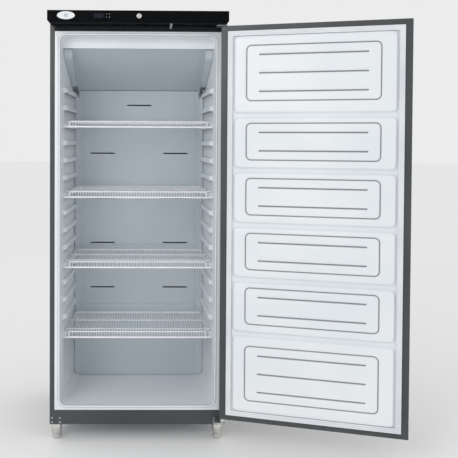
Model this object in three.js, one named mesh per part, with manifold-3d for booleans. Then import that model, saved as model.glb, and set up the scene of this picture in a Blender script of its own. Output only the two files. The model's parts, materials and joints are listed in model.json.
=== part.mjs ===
// An upright one-door freezer cabinet with fan cooling, standing on four bullet feet, its door swung
// wide open. Millimetres, +Z up. The front of the cabinet faces -Y and +X is to the right of a person
// who stands in front of it. Pieces are worked out round the foot of the cabinet's front plane
// (X = 0 on its middle, Y = 0 on its front face, Z = 0 on the floor), and the whole is moved at the
// end so that the origin is the middle of the footprint of everything, door included.
import * as THREE from "three";
import { mergeVertices } from "three/addons/utils/BufferGeometryUtils.js";
import Module from "manifold-3d";

const wasm = await Module();
wasm.setup();

// ---- driving dimensions ----

const clearance = 0.3; // between pieces that meet face to face

// Cabinet
const bodyWidth = 777;
const bodyDepth = 620;
const bodyHeight = 1815;
const legHeight = 75;
const sheet = 0.8; // steel sheet
const sideReturn = 21.2; // front fold of each side panel
const lowerRailHeight = 64;
const upperRailHeight = 71;

// Liner, a vacuum-formed tub with draft on its walls
const linerWall = 2;
const flangeSide = 24;
const flangeTop = 17;
const flangeBottom = 18;
const mouthRadius = 28;
const sideDraft = 0.0396; // narrowing of each side per mm of depth
const ceilingDraft = 0.02;
const floorDraft = 0.03; // the floor falls towards the back
const storeDepth = 441; // front plane to the wall above the machine compartment
const linerDepth = 540;
const rearJoggle = 1.5; // step of the walls behind the storage space
const stepHeight = 325; // of the machine compartment's roof above the underside

// Shelf runners moulded on the side walls, as many as there is room for
const runnerPitch = 79.5;
const lowestRunner = 365; // above the underside
const runnerHeight = 26;
const runnerProud = 14;
const runnerFront = 72;
const runnerBack = 428;

// Machine compartment
const machineDepth = 140;
const machineHeight = 285;

// Air duct and evaporator housing
const ductWidth = 600;
const ductFace = 435; // front plane to the duct panel
const ductReturn = 28;
const ductSheet = 1.2; // coated aluminium of the duct panel and the evaporator cover
const coverFront = 82; // front plane to the front edge of the sloping cover
const coverDrop = 44; // of that edge below the mouth
const coverFall = 165; // height lost from front to back
const coverFlange = 38;
const coverNose = 8; // over which the side flanges reach their depth
const coverSlotY = 123;
const coverSlotHalf = 55;
const fasciaDepth = 10;
const airSlotHeight = 6.5;
const airSlotWidth = 122;
const airSlotGap = 246; // inner ends of a pair
const airSlotDrop = 73; // of the single slot below the panel's top
const airSlotFirst = 243; // from it down to the first pair
const airSlotPitch = 227;
const airSlotRows = 4;

// Temperature probe on the right wall
const probeY = 385;
const probeHalf = [15, 9];
const probeDepth = 12;
const probeMouth = [8, 3];

// Wire shelves
const shelfCount = 4;
const rodDiameter = 6;
const wireDiameter = 3.4;
const frontBarDiameter = 8;
const deckWidth = 624;
const deckDepth = 354;
const deckFront = 64;
const apronDrop = 28;
const deckWires = 24;
const shelfPlay = 5; // between a shelf's rods and the liner's walls

// Door
const doorSideGap = 1; // between the door's edge and the plane of the cabinet's side
const doorBottom = 127.5;
const doorTopGap = 56; // from the cabinet's top down to the door's
const doorThickness = 66.4;
const doorStandOff = 12.6; // steel face of the door in front of the cabinet
const doorMargin = 29.2; // steel fold down each side of the inner face
const doorMarginEnd = 25; // the same fold along the top and the bottom
const gasketWidth = 22;
const gasketThickness = 11.7;
const doorOpenAngle = 164.4;
const panelProud = 15;
const panelGap = 22;
const panelShares = [325, 212, 212, 212, 212, 324]; // heights of the six raised panels, top to bottom
const panelRadius = 14;
const panelMarginSide = 9; // between the gasket and the panels
const panelMarginEnd = 2;
const gasketPocket = 9; // depth of the opening in the door's inner face
const gripWidth = 62;
const gripHeight = 170;
const gripDepth = 26;
const gripFromEdge = 34;
const gripCentre = 1020;
const gripWall = 2;
const gripFlange = 5;

// Hinges
const hingeInset = 11.8; // pin in from the cabinet's side
const hingeForward = 42; // pin in front of the cabinet
const hingePinRadius = 5;
const hingeClearance = 0.4;
const bushRadius = 9;
const pinReach = 22; // of each pin inside the door
const hingePlate = 5;
const hingePlateWidth = 47;
const hingeLeg = 3;
const hingeNose = 15; // of the plate in front of the pin
const lowerHingeTop = 106;

// Crown
const crownOverhang = 1; // past each side of the cabinet
const crownProjection = 83;
const crownHeight = 52.7;
const crownLift = 5; // of its top above the cabinet's
const crownWall = 3;
const crownChamfer = 10;
const crownLip = 40;

// Controller, set in the crown
const controllerX = -155;
const controllerWidth = 83;
const controllerHeight = 31;
const controllerDepth = 50;
const bezelThickness = 2.4;
const displayWidth = 45;
const displayHeight = 24;
const keySize = 11;
const keyThickness = 3;
const keyTravel = 1;

// Lock, set in the crown
const lockX = 4;
const lockRadius = 9;
const lockFlangeRadius = 11;
const barrelRadius = 6.7;
const camLength = 44;
const camWidth = 13;
const camThickness = 3;
const camSetBack = 27; // behind the crown's face

// Legs
const legRadius = 23.5;
const legInset = 26.5; // centre in from the cabinet's side
const legFromFront = 41;
const legFromBack = 50;
const footRadius = 20;
const footHeight = 19;
const stemRadius = 13;
const stemClearance = 0.6;

// Machinery
const compressorRadius = 61;
const compressorHeight = 165;
const condenserWidth = 60;
const condenserHeight = 190;
const condenserFanRadius = 56;
const evaporatorWidth = 460;
const evaporatorDepth = 112;
const evaporatorHeight = 125;
const evaporatorFanRadius = 58;
const fanDepth = 18;
const finThickness = 1.2;

// ---- what follows from them ----

const bodyHalf = bodyWidth / 2;
const bodyTop = legHeight + bodyHeight;
const flangeHalf = bodyHalf - sideReturn;
const flangeLow = legHeight + lowerRailHeight;
const flangeHigh = bodyTop - upperRailHeight;
const mouthHalf = flangeHalf - flangeSide;
const mouthLow = flangeLow + flangeBottom;
const mouthHigh = flangeHigh - flangeTop;
const wallAt = (y) => mouthHalf - sideDraft * y;
const ceilingAt = (y) => mouthHigh - ceilingDraft * y;
const floorAt = (y) => mouthLow - floorDraft * y;
const innerHalf = bodyHalf - sheet - clearance; // inside the side panels
const stepZ = legHeight + stepHeight;
const machineFront = bodyDepth - machineDepth;
const machineTop = legHeight + machineHeight;
const coverStartZ = mouthHigh - coverDrop;
const coverSlope = coverFall / (ductFace - coverFront);
const coverAt = (y) => coverStartZ - coverSlope * (y - coverFront);
const ductHalf = ductWidth / 2;
const probeZ = coverAt(ductFace) - 2;
const firstRunner = legHeight + lowestRunner;
const runnerRoom = probeZ - probeHalf[1] - clearance - runnerHeight - firstRunner;
const runnerLevels = Math.floor(runnerRoom / runnerPitch) + 1;
const shelfRunnerStep = Math.floor((runnerLevels - 1) / (shelfCount - 1));
const doorTop = bodyTop - doorTopGap;
const pinX = bodyHalf - hingeInset;
const doorHalf = bodyHalf - doorSideGap;
const doorBack = -doorStandOff;
const doorFront = doorBack - doorThickness;
const crownFront = -crownProjection;
const crownTop = bodyTop + crownLift;
const crownLow = crownTop - crownHeight;
const crownHalf = bodyHalf + crownOverhang;
const crownMiddle = (crownTop + crownLow) / 2 + 3;

// ---- shapes ----

// A closed geometry as a manifold-3d solid.
function solid(geometry) {
  const bare = geometry.clone();
  bare.deleteAttribute("normal");
  bare.deleteAttribute("uv");
  const merged = mergeVertices(bare, 1e-4);
  return new wasm.Manifold(
    new wasm.Mesh({
      numProp: 3,
      vertProperties: merged.attributes.position.array,
      triVerts: new Uint32Array(merged.index.array),
    }),
  );
}

// The block between two corners.
function block(x0, x1, y0, y1, z0, z1) {
  const g = new THREE.BoxGeometry(x1 - x0, y1 - y0, z1 - z0);
  g.translate((x0 + x1) / 2, (y0 + y1) / 2, (z0 + z1) / 2);
  return solid(g);
}

// A cylinder along X, Y or Z from a to b, round the point that the other two values give, in axis order.
function rod(axis, a, b, p, q, radius, sides = 20) {
  const g = new THREE.CylinderGeometry(radius, radius, b - a, sides);
  const middle = (a + b) / 2;
  if (axis === "x") g.rotateZ(-Math.PI / 2).translate(middle, p, q);
  if (axis === "y") g.translate(p, middle, q);
  if (axis === "z") g.rotateX(Math.PI / 2).translate(p, q, middle);
  return solid(g);
}

// A closed outline in X and Z, drawn through Y from y0 to y1.
function drawnAlongY(shape, y0, y1) {
  const g = new THREE.ExtrudeGeometry(shape, { depth: y1 - y0, bevelEnabled: false, curveSegments: 3 });
  g.rotateX(Math.PI / 2).translate(0, y1, 0);
  return g;
}

// A closed outline in Y and Z, drawn through X from x0 to x1.
function drawnAlongX(points, x0, x1) {
  const shape = new THREE.Shape(points.map(([y, z]) => new THREE.Vector2(y, z)));
  const g = new THREE.ExtrudeGeometry(shape, { depth: x1 - x0, bevelEnabled: false });
  g.rotateX(Math.PI / 2).rotateZ(Math.PI / 2).translate(x0, 0, 0);
  return solid(g);
}

// A profile of [radius, height] points turned round a vertical axis through x, y.
function turned(profile, x, y, sides = 16) {
  const points = profile.map(([r, z]) => new THREE.Vector2(r, z));
  return solid(new THREE.LatheGeometry(points, sides).rotateX(Math.PI / 2).translate(x, y, 0));
}

// A rectangle with round corners, from x0, z0 to x1, z1.
function roundedRectangle(x0, x1, z0, z1, r) {
  const s = new THREE.Shape();
  s.moveTo(x0 + r, z0);
  s.lineTo(x1 - r, z0);
  s.absarc(x1 - r, z0 + r, r, -Math.PI / 2, 0);
  s.lineTo(x1, z1 - r);
  s.absarc(x1 - r, z1 - r, r, 0, Math.PI / 2);
  s.lineTo(x0 + r, z1);
  s.absarc(x0 + r, z1 - r, r, Math.PI / 2, Math.PI);
  s.lineTo(x0, z0 + r);
  s.absarc(x0 + r, z0 + r, r, Math.PI, 1.5 * Math.PI);
  return s;
}

const join = (pieces) => pieces.reduce((a, b) => a.add(b));

const object = new THREE.Group();
const cabinet = new THREE.Group();
const door = new THREE.Group();
door.position.set(pinX, -hingeForward, 0);
door.rotation.z = THREE.MathUtils.degToRad(doorOpenAngle);
object.add(cabinet, door);

const finishes = {
  paint: new THREE.MeshStandardMaterial({ color: 0x3b3f42, roughness: 0.45, metalness: 0.3 }),
  galvanised: new THREE.MeshStandardMaterial({ color: 0xa9adb0, roughness: 0.45, metalness: 0.9 }),
  steel: new THREE.MeshStandardMaterial({ color: 0xb8b8b2, roughness: 0.25, metalness: 1 }),
  liner: new THREE.MeshStandardMaterial({ color: 0xe4e6ee, roughness: 0.35, metalness: 0 }),
  white: new THREE.MeshStandardMaterial({ color: 0xdfe2ea, roughness: 0.4, metalness: 0 }),
  aluminium: new THREE.MeshStandardMaterial({ color: 0xa7b1bb, roughness: 0.4, metalness: 0.7 }),
  crown: new THREE.MeshStandardMaterial({ color: 0x101418, roughness: 0.4, metalness: 0 }),
  dark: new THREE.MeshStandardMaterial({ color: 0x1c1e20, roughness: 0.6, metalness: 0 }),
  display: new THREE.MeshStandardMaterial({ color: 0x05060f, roughness: 0.08, metalness: 0 }),
  foam: new THREE.MeshStandardMaterial({ color: 0xe6dcb8, roughness: 0.9, metalness: 0 }),
  gasket: new THREE.MeshStandardMaterial({ color: 0xe6e7ec, roughness: 0.6, metalness: 0 }),
  wire: new THREE.MeshStandardMaterial({ color: 0xf2f3f6, roughness: 0.35, metalness: 0 }),
  copper: new THREE.MeshStandardMaterial({ color: 0x9a5a3a, roughness: 0.35, metalness: 1 }),
  grey: new THREE.MeshStandardMaterial({ color: 0x8b9095, roughness: 0.5, metalness: 0 }),
};

// Names a solid and adds it to the cabinet, or to the door, whose pieces are drawn with the door shut.
// It gives the mesh back, so that a piece drawn round its own axis can be turned and placed.
function add(name, made, finish, group = cabinet) {
  const m = made.getMesh();
  const g = new THREE.BufferGeometry();
  g.setAttribute("position", new THREE.BufferAttribute(new Float32Array(m.vertProperties), 3));
  g.setIndex(new THREE.BufferAttribute(new Uint32Array(m.triVerts), 1));
  if (group === door) g.translate(-pinX, hingeForward, 0);
  g.computeVertexNormals();
  const mesh = new THREE.Mesh(g, finishes[finish]);
  mesh.name = name;
  group.add(mesh);
  return mesh;
}

// ---- outer casing ----

for (const [name, side] of [["side_panel_left", -1], ["side_panel_right", 1]]) {
  const across = (a, b) => (side < 0 ? [-b, -a] : [a, b]);
  const skin = block(...across(bodyHalf - sheet, bodyHalf), 0, bodyDepth, legHeight, bodyTop);
  const fold = block(...across(flangeHalf, bodyHalf), 0, sheet, flangeLow + clearance, bodyTop);
  add(name, skin.add(fold), "paint");
}

// Clearance holes for the four screws of the spare hinge plate, left, and of the hinge, right.
const plateLow = legHeight + 2;
const screwInset = 11;
const screwColumns = [bodyHalf - screwInset, bodyHalf - screwInset - 35];
const screwRows = [legHeight + 10, legHeight + 29];
const screwRadius = 2.5;
const screwHoles = [];
for (const x of screwColumns) {
  for (const z of screwRows) {
    screwHoles.push(rod("y", -1, sheet + 1, -x, z, screwRadius + clearance, 8));
  }
}
const lowerRail = block(-innerHalf, innerHalf, 0, sheet, legHeight, flangeLow);
add("lower_front_rail", lowerRail.subtract(join(screwHoles)), "paint");
const upperRailHalf = flangeHalf - clearance;
const upperRail = block(-upperRailHalf, upperRailHalf, 0, sheet, flangeHigh + clearance, bodyTop);
add("upper_front_rail", upperRail, "paint");

const behindRail = sheet + clearance;
const beforeBack = bodyDepth - sheet - clearance;
add("top_panel",
  block(-innerHalf, innerHalf, behindRail, beforeBack, bodyTop - sheet, bodyTop), "galvanised");
add("back_panel",
  block(-innerHalf, innerHalf, bodyDepth - sheet, bodyDepth, machineTop + clearance, bodyTop), "galvanised");
add("bottom_panel",
  block(-innerHalf, innerHalf, behindRail, machineFront, legHeight, legHeight + sheet), "galvanised");

// ---- liner and insulation ----

// The storage space, grown by a distance on every side but the front.
function tub(grow, front) {
  const shape = (y0, y1, low, spare) => {
    const outline = roundedRectangle(-1, 1, -1, 1, mouthRadius / mouthHalf);
    const g = drawnAlongY(outline, y0, y1);
    const p = g.attributes.position;
    for (let i = 0; i < p.count; i++) {
      const y = p.getY(i);
      const corner = mouthRadius / mouthHalf;
      const bottom = low(y) - spare;
      const top = ceilingAt(y) + spare;
      const x = p.getX(i) * (wallAt(y) + spare);
      // Heights near the ends keep the corner's own radius, and the straight stretch takes the rest.
      const v = p.getZ(i);
      const end = mouthRadius * (1 - (1 - Math.abs(v)) / corner);
      const inCorner = Math.abs(v) > 1 - corner - 1e-6;
      const z = v > 0 ? top - mouthRadius + end : bottom + mouthRadius - end;
      p.setXYZ(i, x, y, inCorner ? z : (top + bottom) / 2);
    }
    return solid(g);
  };
  const store = shape(front, storeDepth + grow, floorAt, grow);
  const above = shape(storeDepth - 2 * linerWall, linerDepth + grow, () => stepZ, grow - rearJoggle);
  return store.add(above);
}

const runners = [];
const runnerBottoms = [];
for (let level = 0; level < runnerLevels; level++) {
  const z = firstRunner + runnerPitch * level;
  runnerBottoms.push(z);
  for (const side of [-1, 1]) {
    const root = linerWall / 2;
    const outline = new THREE.Shape();
    const reach = [
      [wallAt(runnerFront) + root, runnerFront],
      [wallAt(runnerFront) - runnerProud, runnerFront + runnerProud / 2],
      [wallAt(runnerBack) - runnerProud, runnerBack],
      [wallAt(runnerBack) + root, runnerBack],
    ];
    outline.setFromPoints(reach.map(([x, y]) => new THREE.Vector2(side * x, y)));
    const g = new THREE.ExtrudeGeometry(outline, { depth: runnerHeight, bevelEnabled: false });
    runners.push(solid(g.translate(0, 0, z)));
  }
}
const flange = block(-flangeHalf + clearance, flangeHalf - clearance, 0, linerWall,
  flangeLow + clearance, flangeHigh - clearance);
add("inner_liner", tub(linerWall, 0).add(flange).subtract(tub(0, -1)).add(join(runners)), "liner");

const foamFront = linerWall + clearance;
const foamBlock = block(-innerHalf + clearance, innerHalf - clearance, foamFront, beforeBack,
  legHeight + sheet + clearance, bodyTop - sheet - clearance);
const machineSpace = block(-bodyHalf, bodyHalf, machineFront, bodyDepth, 0, machineTop);
const screwSpace = block(-bodyHalf, -screwColumns[1] + 9, -1, 12, legHeight, screwRows[1] + 9);
add("cabinet_foam",
  foamBlock.subtract(tub(linerWall + clearance, -1)).subtract(machineSpace).subtract(screwSpace), "foam");

// ---- air duct panel and evaporator housing ----

const ductLow = floorAt(ductFace) + 3;
const ductTop = coverAt(ductFace) - ductSheet - clearance;
const airSlotTop = ductTop - airSlotDrop;
const airSlots = [[0, airSlotTop]];
for (let row = 0; row < airSlotRows; row++) {
  const z = airSlotTop - airSlotFirst - airSlotPitch * row;
  const offset = (airSlotGap + airSlotWidth) / 2;
  airSlots.push([-offset, z], [offset, z]);
}
const ductPanel = block(-ductHalf, ductHalf, ductFace, ductFace + ductSheet, ductLow, ductTop);
const ductFoldLow = stepZ + linerWall + 8;
const ductFold = (x) => block(x, x + ductSheet, ductFace, ductFace + ductReturn, ductFoldLow, ductTop);
const slotCuts = airSlots.map(([x, z]) =>
  block(x - airSlotWidth / 2, x + airSlotWidth / 2, ductFace - 1, ductFace + ductSheet + 1,
    z - airSlotHeight / 2, z + airSlotHeight / 2));
add("rear_duct_panel",
  join([ductPanel, ductFold(-ductHalf), ductFold(ductHalf - ductSheet)]).subtract(join(slotCuts)), "white");

const coverSheet = drawnAlongX([
  [coverFront, coverStartZ],
  [ductFace + ductSheet, coverAt(ductFace + ductSheet)],
  [ductFace + ductSheet, coverAt(ductFace + ductSheet) + ductSheet],
  [coverFront, coverStartZ + ductSheet],
], -ductHalf, ductHalf);
const coverSide = (x) => drawnAlongX([
  [coverFront, coverStartZ],
  [coverFront + coverNose, coverAt(coverFront + coverNose) - coverFlange],
  [ductFace - clearance, coverAt(ductFace - clearance) - coverFlange],
  [ductFace - clearance, coverAt(ductFace - clearance) + ductSheet],
  [coverFront, coverStartZ + ductSheet],
], x, x + ductSheet);
const coverSlot = block(-coverSlotHalf, coverSlotHalf, coverSlotY - 4, coverSlotY + 4,
  coverAt(coverSlotY) - 8, coverAt(coverSlotY) + 8);
add("evaporator_cover",
  join([coverSheet, coverSide(-ductHalf), coverSide(ductHalf - ductSheet)]).subtract(coverSlot), "white");

const fasciaBack = coverFront - clearance;
const fasciaHalf = wallAt(coverFront) - clearance * 2;
add("evaporator_fascia",
  block(-fasciaHalf, fasciaHalf, fasciaBack - fasciaDepth, fasciaBack, coverStartZ - 2,
    ceilingAt(coverFront) - clearance * 2).intersect(tub(-clearance, -1)), "white");

// A finned block: thin plates across X on tubes along X, whose ends stand out.
const coilTubes = 2;
const tubeRadius = 5;
const tubeEnd = 8;
function finned(x0, x1, y0, y1, z0, z1, fins) {
  const plates = [];
  const pitch = (x1 - x0 - finThickness) / (fins - 1);
  for (let i = 0; i < fins; i++) {
    const x = x0 + i * pitch;
    plates.push(block(x, x + finThickness, y0, y1, z0, z1));
  }
  for (let i = 0; i < coilTubes; i++) {
    const y = y0 + ((i + 0.5) / coilTubes) * (y1 - y0);
    plates.push(rod("x", x0 - tubeEnd, x1 + tubeEnd, y, (z0 + z1) / 2, tubeRadius, 6));
  }
  return join(plates);
}
const evaporatorFins = 9;
const evaporatorBack = linerDepth - 12;
const evaporatorTop = ceilingAt(evaporatorBack) - 14;
const evaporatorLow = evaporatorTop - evaporatorHeight;
add("evaporator_coil",
  finned(-evaporatorWidth / 2, evaporatorWidth / 2, evaporatorBack - evaporatorDepth, evaporatorBack,
    evaporatorLow, evaporatorTop, evaporatorFins), "aluminium");
const panLow = coverAt(evaporatorBack - evaporatorDepth - 10) + ductSheet + 3;
const panHalf = evaporatorWidth / 2 + 12;
const panY0 = evaporatorBack - evaporatorDepth - 8;
const panY1 = evaporatorBack - 6;
const panWall = 1.5;
const panDepth = 16;
const pan = block(-panHalf, panHalf, panY0, panY1, panLow, panLow + panDepth).subtract(
  block(-panHalf + panWall, panHalf - panWall, panY0 + panWall, panY1 - panWall, panLow + panWall,
    panLow + 2 * panDepth));
add("evaporator_drip_pan", pan, "aluminium");

// An axial fan: a shroud plate with a round hole, a motor behind it on two arms, and a bladed rotor,
// drawn round the Z axis and turned when it is placed.
const hubShare = 0.3; // of the fan's radius
const bladeShare = 0.62;
const bladePitch = 16; // degrees
const bladeThickness = 1.6;
const bladeCount = 5;
const shroudPlate = 2;
const shroudPlay = 2; // between the blades' sweep and the hole
const shroudEdge = 7; // from the sweep to the shroud's outer edge
function rotor(radius) {
  const hub = rod("z", -fanDepth / 2, fanDepth / 2, 0, 0, radius * hubShare, 16);
  const blades = [];
  for (let i = 0; i < bladeCount; i++) {
    const blade = new THREE.BoxGeometry(radius * bladeShare, radius * bladeShare, bladeThickness);
    blade.rotateX(THREE.MathUtils.degToRad(bladePitch));
    blade.translate(radius * (hubShare + bladeShare / 2) * 0.95, 0, 0);
    blade.rotateZ((i * 2 * Math.PI) / bladeCount);
    blades.push(solid(blade));
  }
  const sweep = rod("z", -fanDepth, fanDepth, 0, 0, radius - 1, 20);
  return join([hub, ...blades]).intersect(sweep);
}
const evapFanY = panY0 - 58;
const evapFanZ = (coverAt(evapFanY) + ceilingAt(evapFanY)) / 2 + 2;
const evapFrame = evaporatorFanRadius + shroudEdge;
const evapShroud = block(-evapFrame, evapFrame, evapFanY - 1, evapFanY - 1 + shroudPlate,
  evapFanZ - evapFrame, evapFanZ + evapFrame).subtract(
  rod("y", evapFanY - 10, evapFanY + 10, 0, evapFanZ, evaporatorFanRadius + shroudPlay, 24));
add("evaporator_fan_shroud", evapShroud, "dark");
const evaporatorRotor = add("evaporator_fan_blade", rotor(evaporatorFanRadius), "dark");
evaporatorRotor.rotation.x = -Math.PI / 2;
evaporatorRotor.position.set(0, evapFanY, evapFanZ);
const motorGap = 2; // behind the hub
const motorLength = 34;
const motorRadius = 17;
const bracket = 5; // thickness of the motor's bracket
const bracketHalf = 5;
// A motor whose bracket runs along X when the motor lies along Y, and along Z when it lies along X.
function motor(axis, at, p, q, radius) {
  const start = at + fanDepth / 2 + motorGap;
  const can = rod(axis, start, start + motorLength, p, q, motorRadius, 16);
  const barFrom = start + 6;
  const reach = radius + shroudEdge;
  const strip = (from, to, a, b) => (axis === "y"
    ? block(p + a, p + b, from, to, q - bracketHalf, q + bracketHalf)
    : block(from, to, p - bracketHalf, p + bracketHalf, q + a, q + b));
  const bar = strip(barFrom, barFrom + bracket, -reach, reach);
  const legs = [strip(at + shroudPlate, barFrom + bracket, -reach, bracket - reach),
    strip(at + shroudPlate, barFrom + bracket, reach - bracket, reach)];
  return join([can, bar, ...legs]);
}
add("evaporator_fan_motor", motor("y", evapFanY, 0, evapFanZ, evaporatorFanRadius), "dark");

// The probe's housing on the right wall, with an opening for the air.
const probeWall = wallAt(probeY + probeHalf[0]) - 1;
const probeBox = ([y, z], x0, x1) => block(x0, x1, probeY - y, probeY + y, probeZ - z, probeZ + z);
add("temperature_probe", probeBox(probeHalf, probeWall - probeDepth, probeWall).subtract(
  probeBox(probeMouth, probeWall - 2 * probeDepth, probeWall - probeDepth / 2)), "grey");

// ---- wire shelves ----

// A shelf whose side rods lie on the runners at height z: cross rods, a deck of wires that turns down in
// front, and a bar along the lower front edge.
const frontRodSetBack = 44; // behind the runners' front ends
const middleRodSetBack = 20; // behind the middle
const backRodSetIn = 16; // in front of the deck's back edge
function wireShelf(z) {
  const r = rodDiameter / 2;
  const w = wireDiameter / 2;
  const bar = frontBarDiameter / 2;
  const rodZ = z + clearance + r;
  const wireZ = rodZ + r + clearance + w;
  const barZ = wireZ - apronDrop;
  const deckHalf = deckWidth / 2;
  const back = deckFront + deckDepth;
  const reach = (y) => wallAt(y) - shelfPlay;
  const crossRod = (y) => block(-reach(y), reach(y), y - r, y + r, rodZ - r, rodZ + r);
  const sideRail = (x) => block(x - r, x + r, deckFront + 2 * r, back, rodZ - r, wireZ);
  const barHalf = reach(deckFront);
  const pieces = [
    crossRod(runnerFront + frontRodSetBack),
    crossRod((runnerFront + back) / 2 + middleRodSetBack),
    crossRod(back - backRodSetIn),
    sideRail(-deckHalf),
    sideRail(deckHalf),
    block(-deckHalf - r, deckHalf + r, back - 2 * r, back, rodZ - r, wireZ),
    block(-deckHalf - r, deckHalf + r, deckFront + 2 * w + clearance, deckFront + 4 * r,
      rodZ - r, rodZ + r),
    block(-barHalf, barHalf, deckFront - bar, deckFront + bar, barZ - bar, barZ + bar),
  ];
  for (let i = 0; i < deckWires; i++) {
    const x = -deckHalf + ((i + 0.5) / deckWires) * deckWidth;
    pieces.push(drawnAlongX([
      [deckFront - w, barZ],
      [deckFront + w, barZ],
      [deckFront + w, wireZ - w],
      [back - r, wireZ - w],
      [back - r, wireZ + w],
      [deckFront - w, wireZ + w],
    ], x - w, x + w));
  }
  return join(pieces);
}
for (let i = 0; i < shelfCount; i++) {
  const level = (shelfCount - 1 - i) * shelfRunnerStep;
  add("wire_shelf_" + (i + 1), wireShelf(runnerBottoms[level] + runnerHeight), "wire");
}

// ---- crown with controller, badge, lock and door switch ----

function crownOutline(inset) {
  const half = crownHalf - inset;
  const low = crownLow + inset;
  const high = crownTop - inset;
  const s = new THREE.Shape();
  s.moveTo(-half + crownChamfer, low);
  s.lineTo(half - crownChamfer, low);
  s.lineTo(half, low + crownChamfer);
  s.lineTo(half, high);
  s.lineTo(-half, high);
  s.lineTo(-half, low + crownChamfer);
  return s;
}
const controllerZ = crownMiddle;
const controllerCut = [controllerWidth / 2 - 2, controllerHeight / 2 - 2];
const camY = crownFront + camSetBack;
const camSlot = [camY - 2, camY + camThickness + 2.5];
const upperLegTop = crownLow + 30;
const upperLegEdge = crownHalf - crownWall - crownChamfer - 1;
const hingeHalf = hingePlateWidth - hingeInset; // from the pin towards the middle
const crownCuts = [
  solid(drawnAlongY(crownOutline(crownWall), crownFront + crownWall, 1)),
  block(controllerX - controllerCut[0], controllerX + controllerCut[0], crownFront - 1,
    crownFront + crownWall + 1, controllerZ - controllerCut[1], controllerZ + controllerCut[1]),
  rod("y", crownFront - 1, crownFront + crownWall + 1, lockX, crownMiddle, lockRadius + clearance, 24),
  block(lockX - camWidth, lockX + camLength + 4, ...camSlot, crownLow - 1, crownLow + crownWall + 1),
  block(pinX - hingeHalf - 1, upperLegEdge + 1, -hingeLeg - 2, 1, crownLow - 1, crownLow + crownWall + 1),
];
const crownShell = solid(drawnAlongY(crownOutline(0), crownFront, -clearance)).subtract(join(crownCuts));
const crownLipBlock = block(-crownHalf + 2, crownHalf - 2, -4, crownLip, bodyTop + clearance, crownTop);
add("crown_panel", crownShell.add(crownLipBlock), "crown");

const bezelBack = crownFront - clearance;
const bezelFront = bezelBack - bezelThickness;
const bodyCut = 0.6; // play of the controller in its cut-out
const bezel = block(controllerX - controllerWidth / 2, controllerX + controllerWidth / 2,
  bezelFront, bezelBack, controllerZ - controllerHeight / 2, controllerZ + controllerHeight / 2);
const controllerBox = block(controllerX - controllerCut[0] + bodyCut, controllerX + controllerCut[0] - bodyCut,
  bezelBack - 1, crownFront + controllerDepth, controllerZ - controllerCut[1] + bodyCut,
  controllerZ + controllerCut[1] - bodyCut);
const displayMargin = 5;
const displayX = controllerX - controllerWidth / 2 + displayMargin + displayWidth / 2;
const displaySeat = 1.2;
const displayCut = block(displayX - displayWidth / 2 - clearance, displayX + displayWidth / 2 + clearance,
  bezelFront - 1, bezelFront + displaySeat + clearance, controllerZ - displayHeight / 2 - clearance,
  controllerZ + displayHeight / 2 + clearance);
const keyGap = 2.5;
const keyPitch = keySize + keyGap;
const keyMiddleX = (displayX + displayWidth / 2 + controllerX + controllerWidth / 2) / 2 + 0.5;
const keys = [];
for (const [name, i, k] of [["key_up", 0, 1], ["key_set", 1, 1], ["key_down", 0, 0], ["key_power", 1, 0]]) {
  keys.push({ name, x: keyMiddleX + (i - 0.5) * keyPitch, z: controllerZ + (k - 0.5) * keyPitch });
}
const half = keySize / 2;
const keyFront = bezelFront - 0.8;
const keyBack = keyFront + keyThickness;
const keyCuts = keys.map(({ x, z }) =>
  block(x - half - clearance, x + half + clearance, bezelFront - 1, keyBack + keyTravel + clearance,
    z - half - clearance, z + half + clearance));
add("controller_body", bezel.add(controllerBox).subtract(join([displayCut, ...keyCuts])), "dark");
add("controller_display", block(displayX - displayWidth / 2, displayX + displayWidth / 2, bezelFront + 0.2,
  bezelFront + displaySeat, controllerZ - displayHeight / 2, controllerZ + displayHeight / 2), "display");
for (const { name, x, z } of keys) {
  add(name, block(x - half, x + half, keyFront, keyBack, z - half, z + half), "dark");
}

const badgeX = -309;
const badgeHalf = [38, 17];
const badgeDepth = 1.5;
const badgeShape = new THREE.Shape();
badgeShape.absellipse(0, 0, ...badgeHalf, 0, 2 * Math.PI);
const badge = new THREE.ExtrudeGeometry(badgeShape,
  { depth: badgeDepth, bevelEnabled: false, curveSegments: 12 });
badge.rotateX(Math.PI / 2).translate(badgeX, crownFront - clearance, crownMiddle + 1);
add("crown_badge", solid(badge), "white");

const lockBack = camY - 1;
const lockBody = rod("y", crownFront - clearance - 2, crownFront - clearance, lockX, crownMiddle,
  lockFlangeRadius, 24).add(rod("y", crownFront - 1, lockBack, lockX, crownMiddle, lockRadius, 24));
const lockBore = rod("y", crownFront - 9, lockBack + 9, lockX, crownMiddle, barrelRadius + clearance, 24);
add("lock_body", lockBody.subtract(lockBore), "steel");
const barrel = rod("y", crownFront - clearance - 1.6, camY + 1, lockX, crownMiddle, barrelRadius, 24);
const cam = block(lockX - camWidth / 2, lockX + camLength, camY, camY + camThickness,
  crownMiddle - camWidth / 2, crownMiddle + camWidth / 2);
const keyway = block(lockX - 1, lockX + 1, crownFront - 9, crownFront + 4, crownMiddle - 4, crownMiddle + 4);
add("lock_barrel", barrel.add(cam).subtract(keyway), "steel");

// The switch hangs under the crown, just clear of the door's top edge.
const switchX = 142;
const switchHalf = 5.3;
const switchY = [-14, -1];
add("door_switch", block(switchX - switchHalf, switchX + switchHalf, ...switchY, doorTop + 1.2,
  crownLow - clearance), "grey");

// ---- hinges ----

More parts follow.
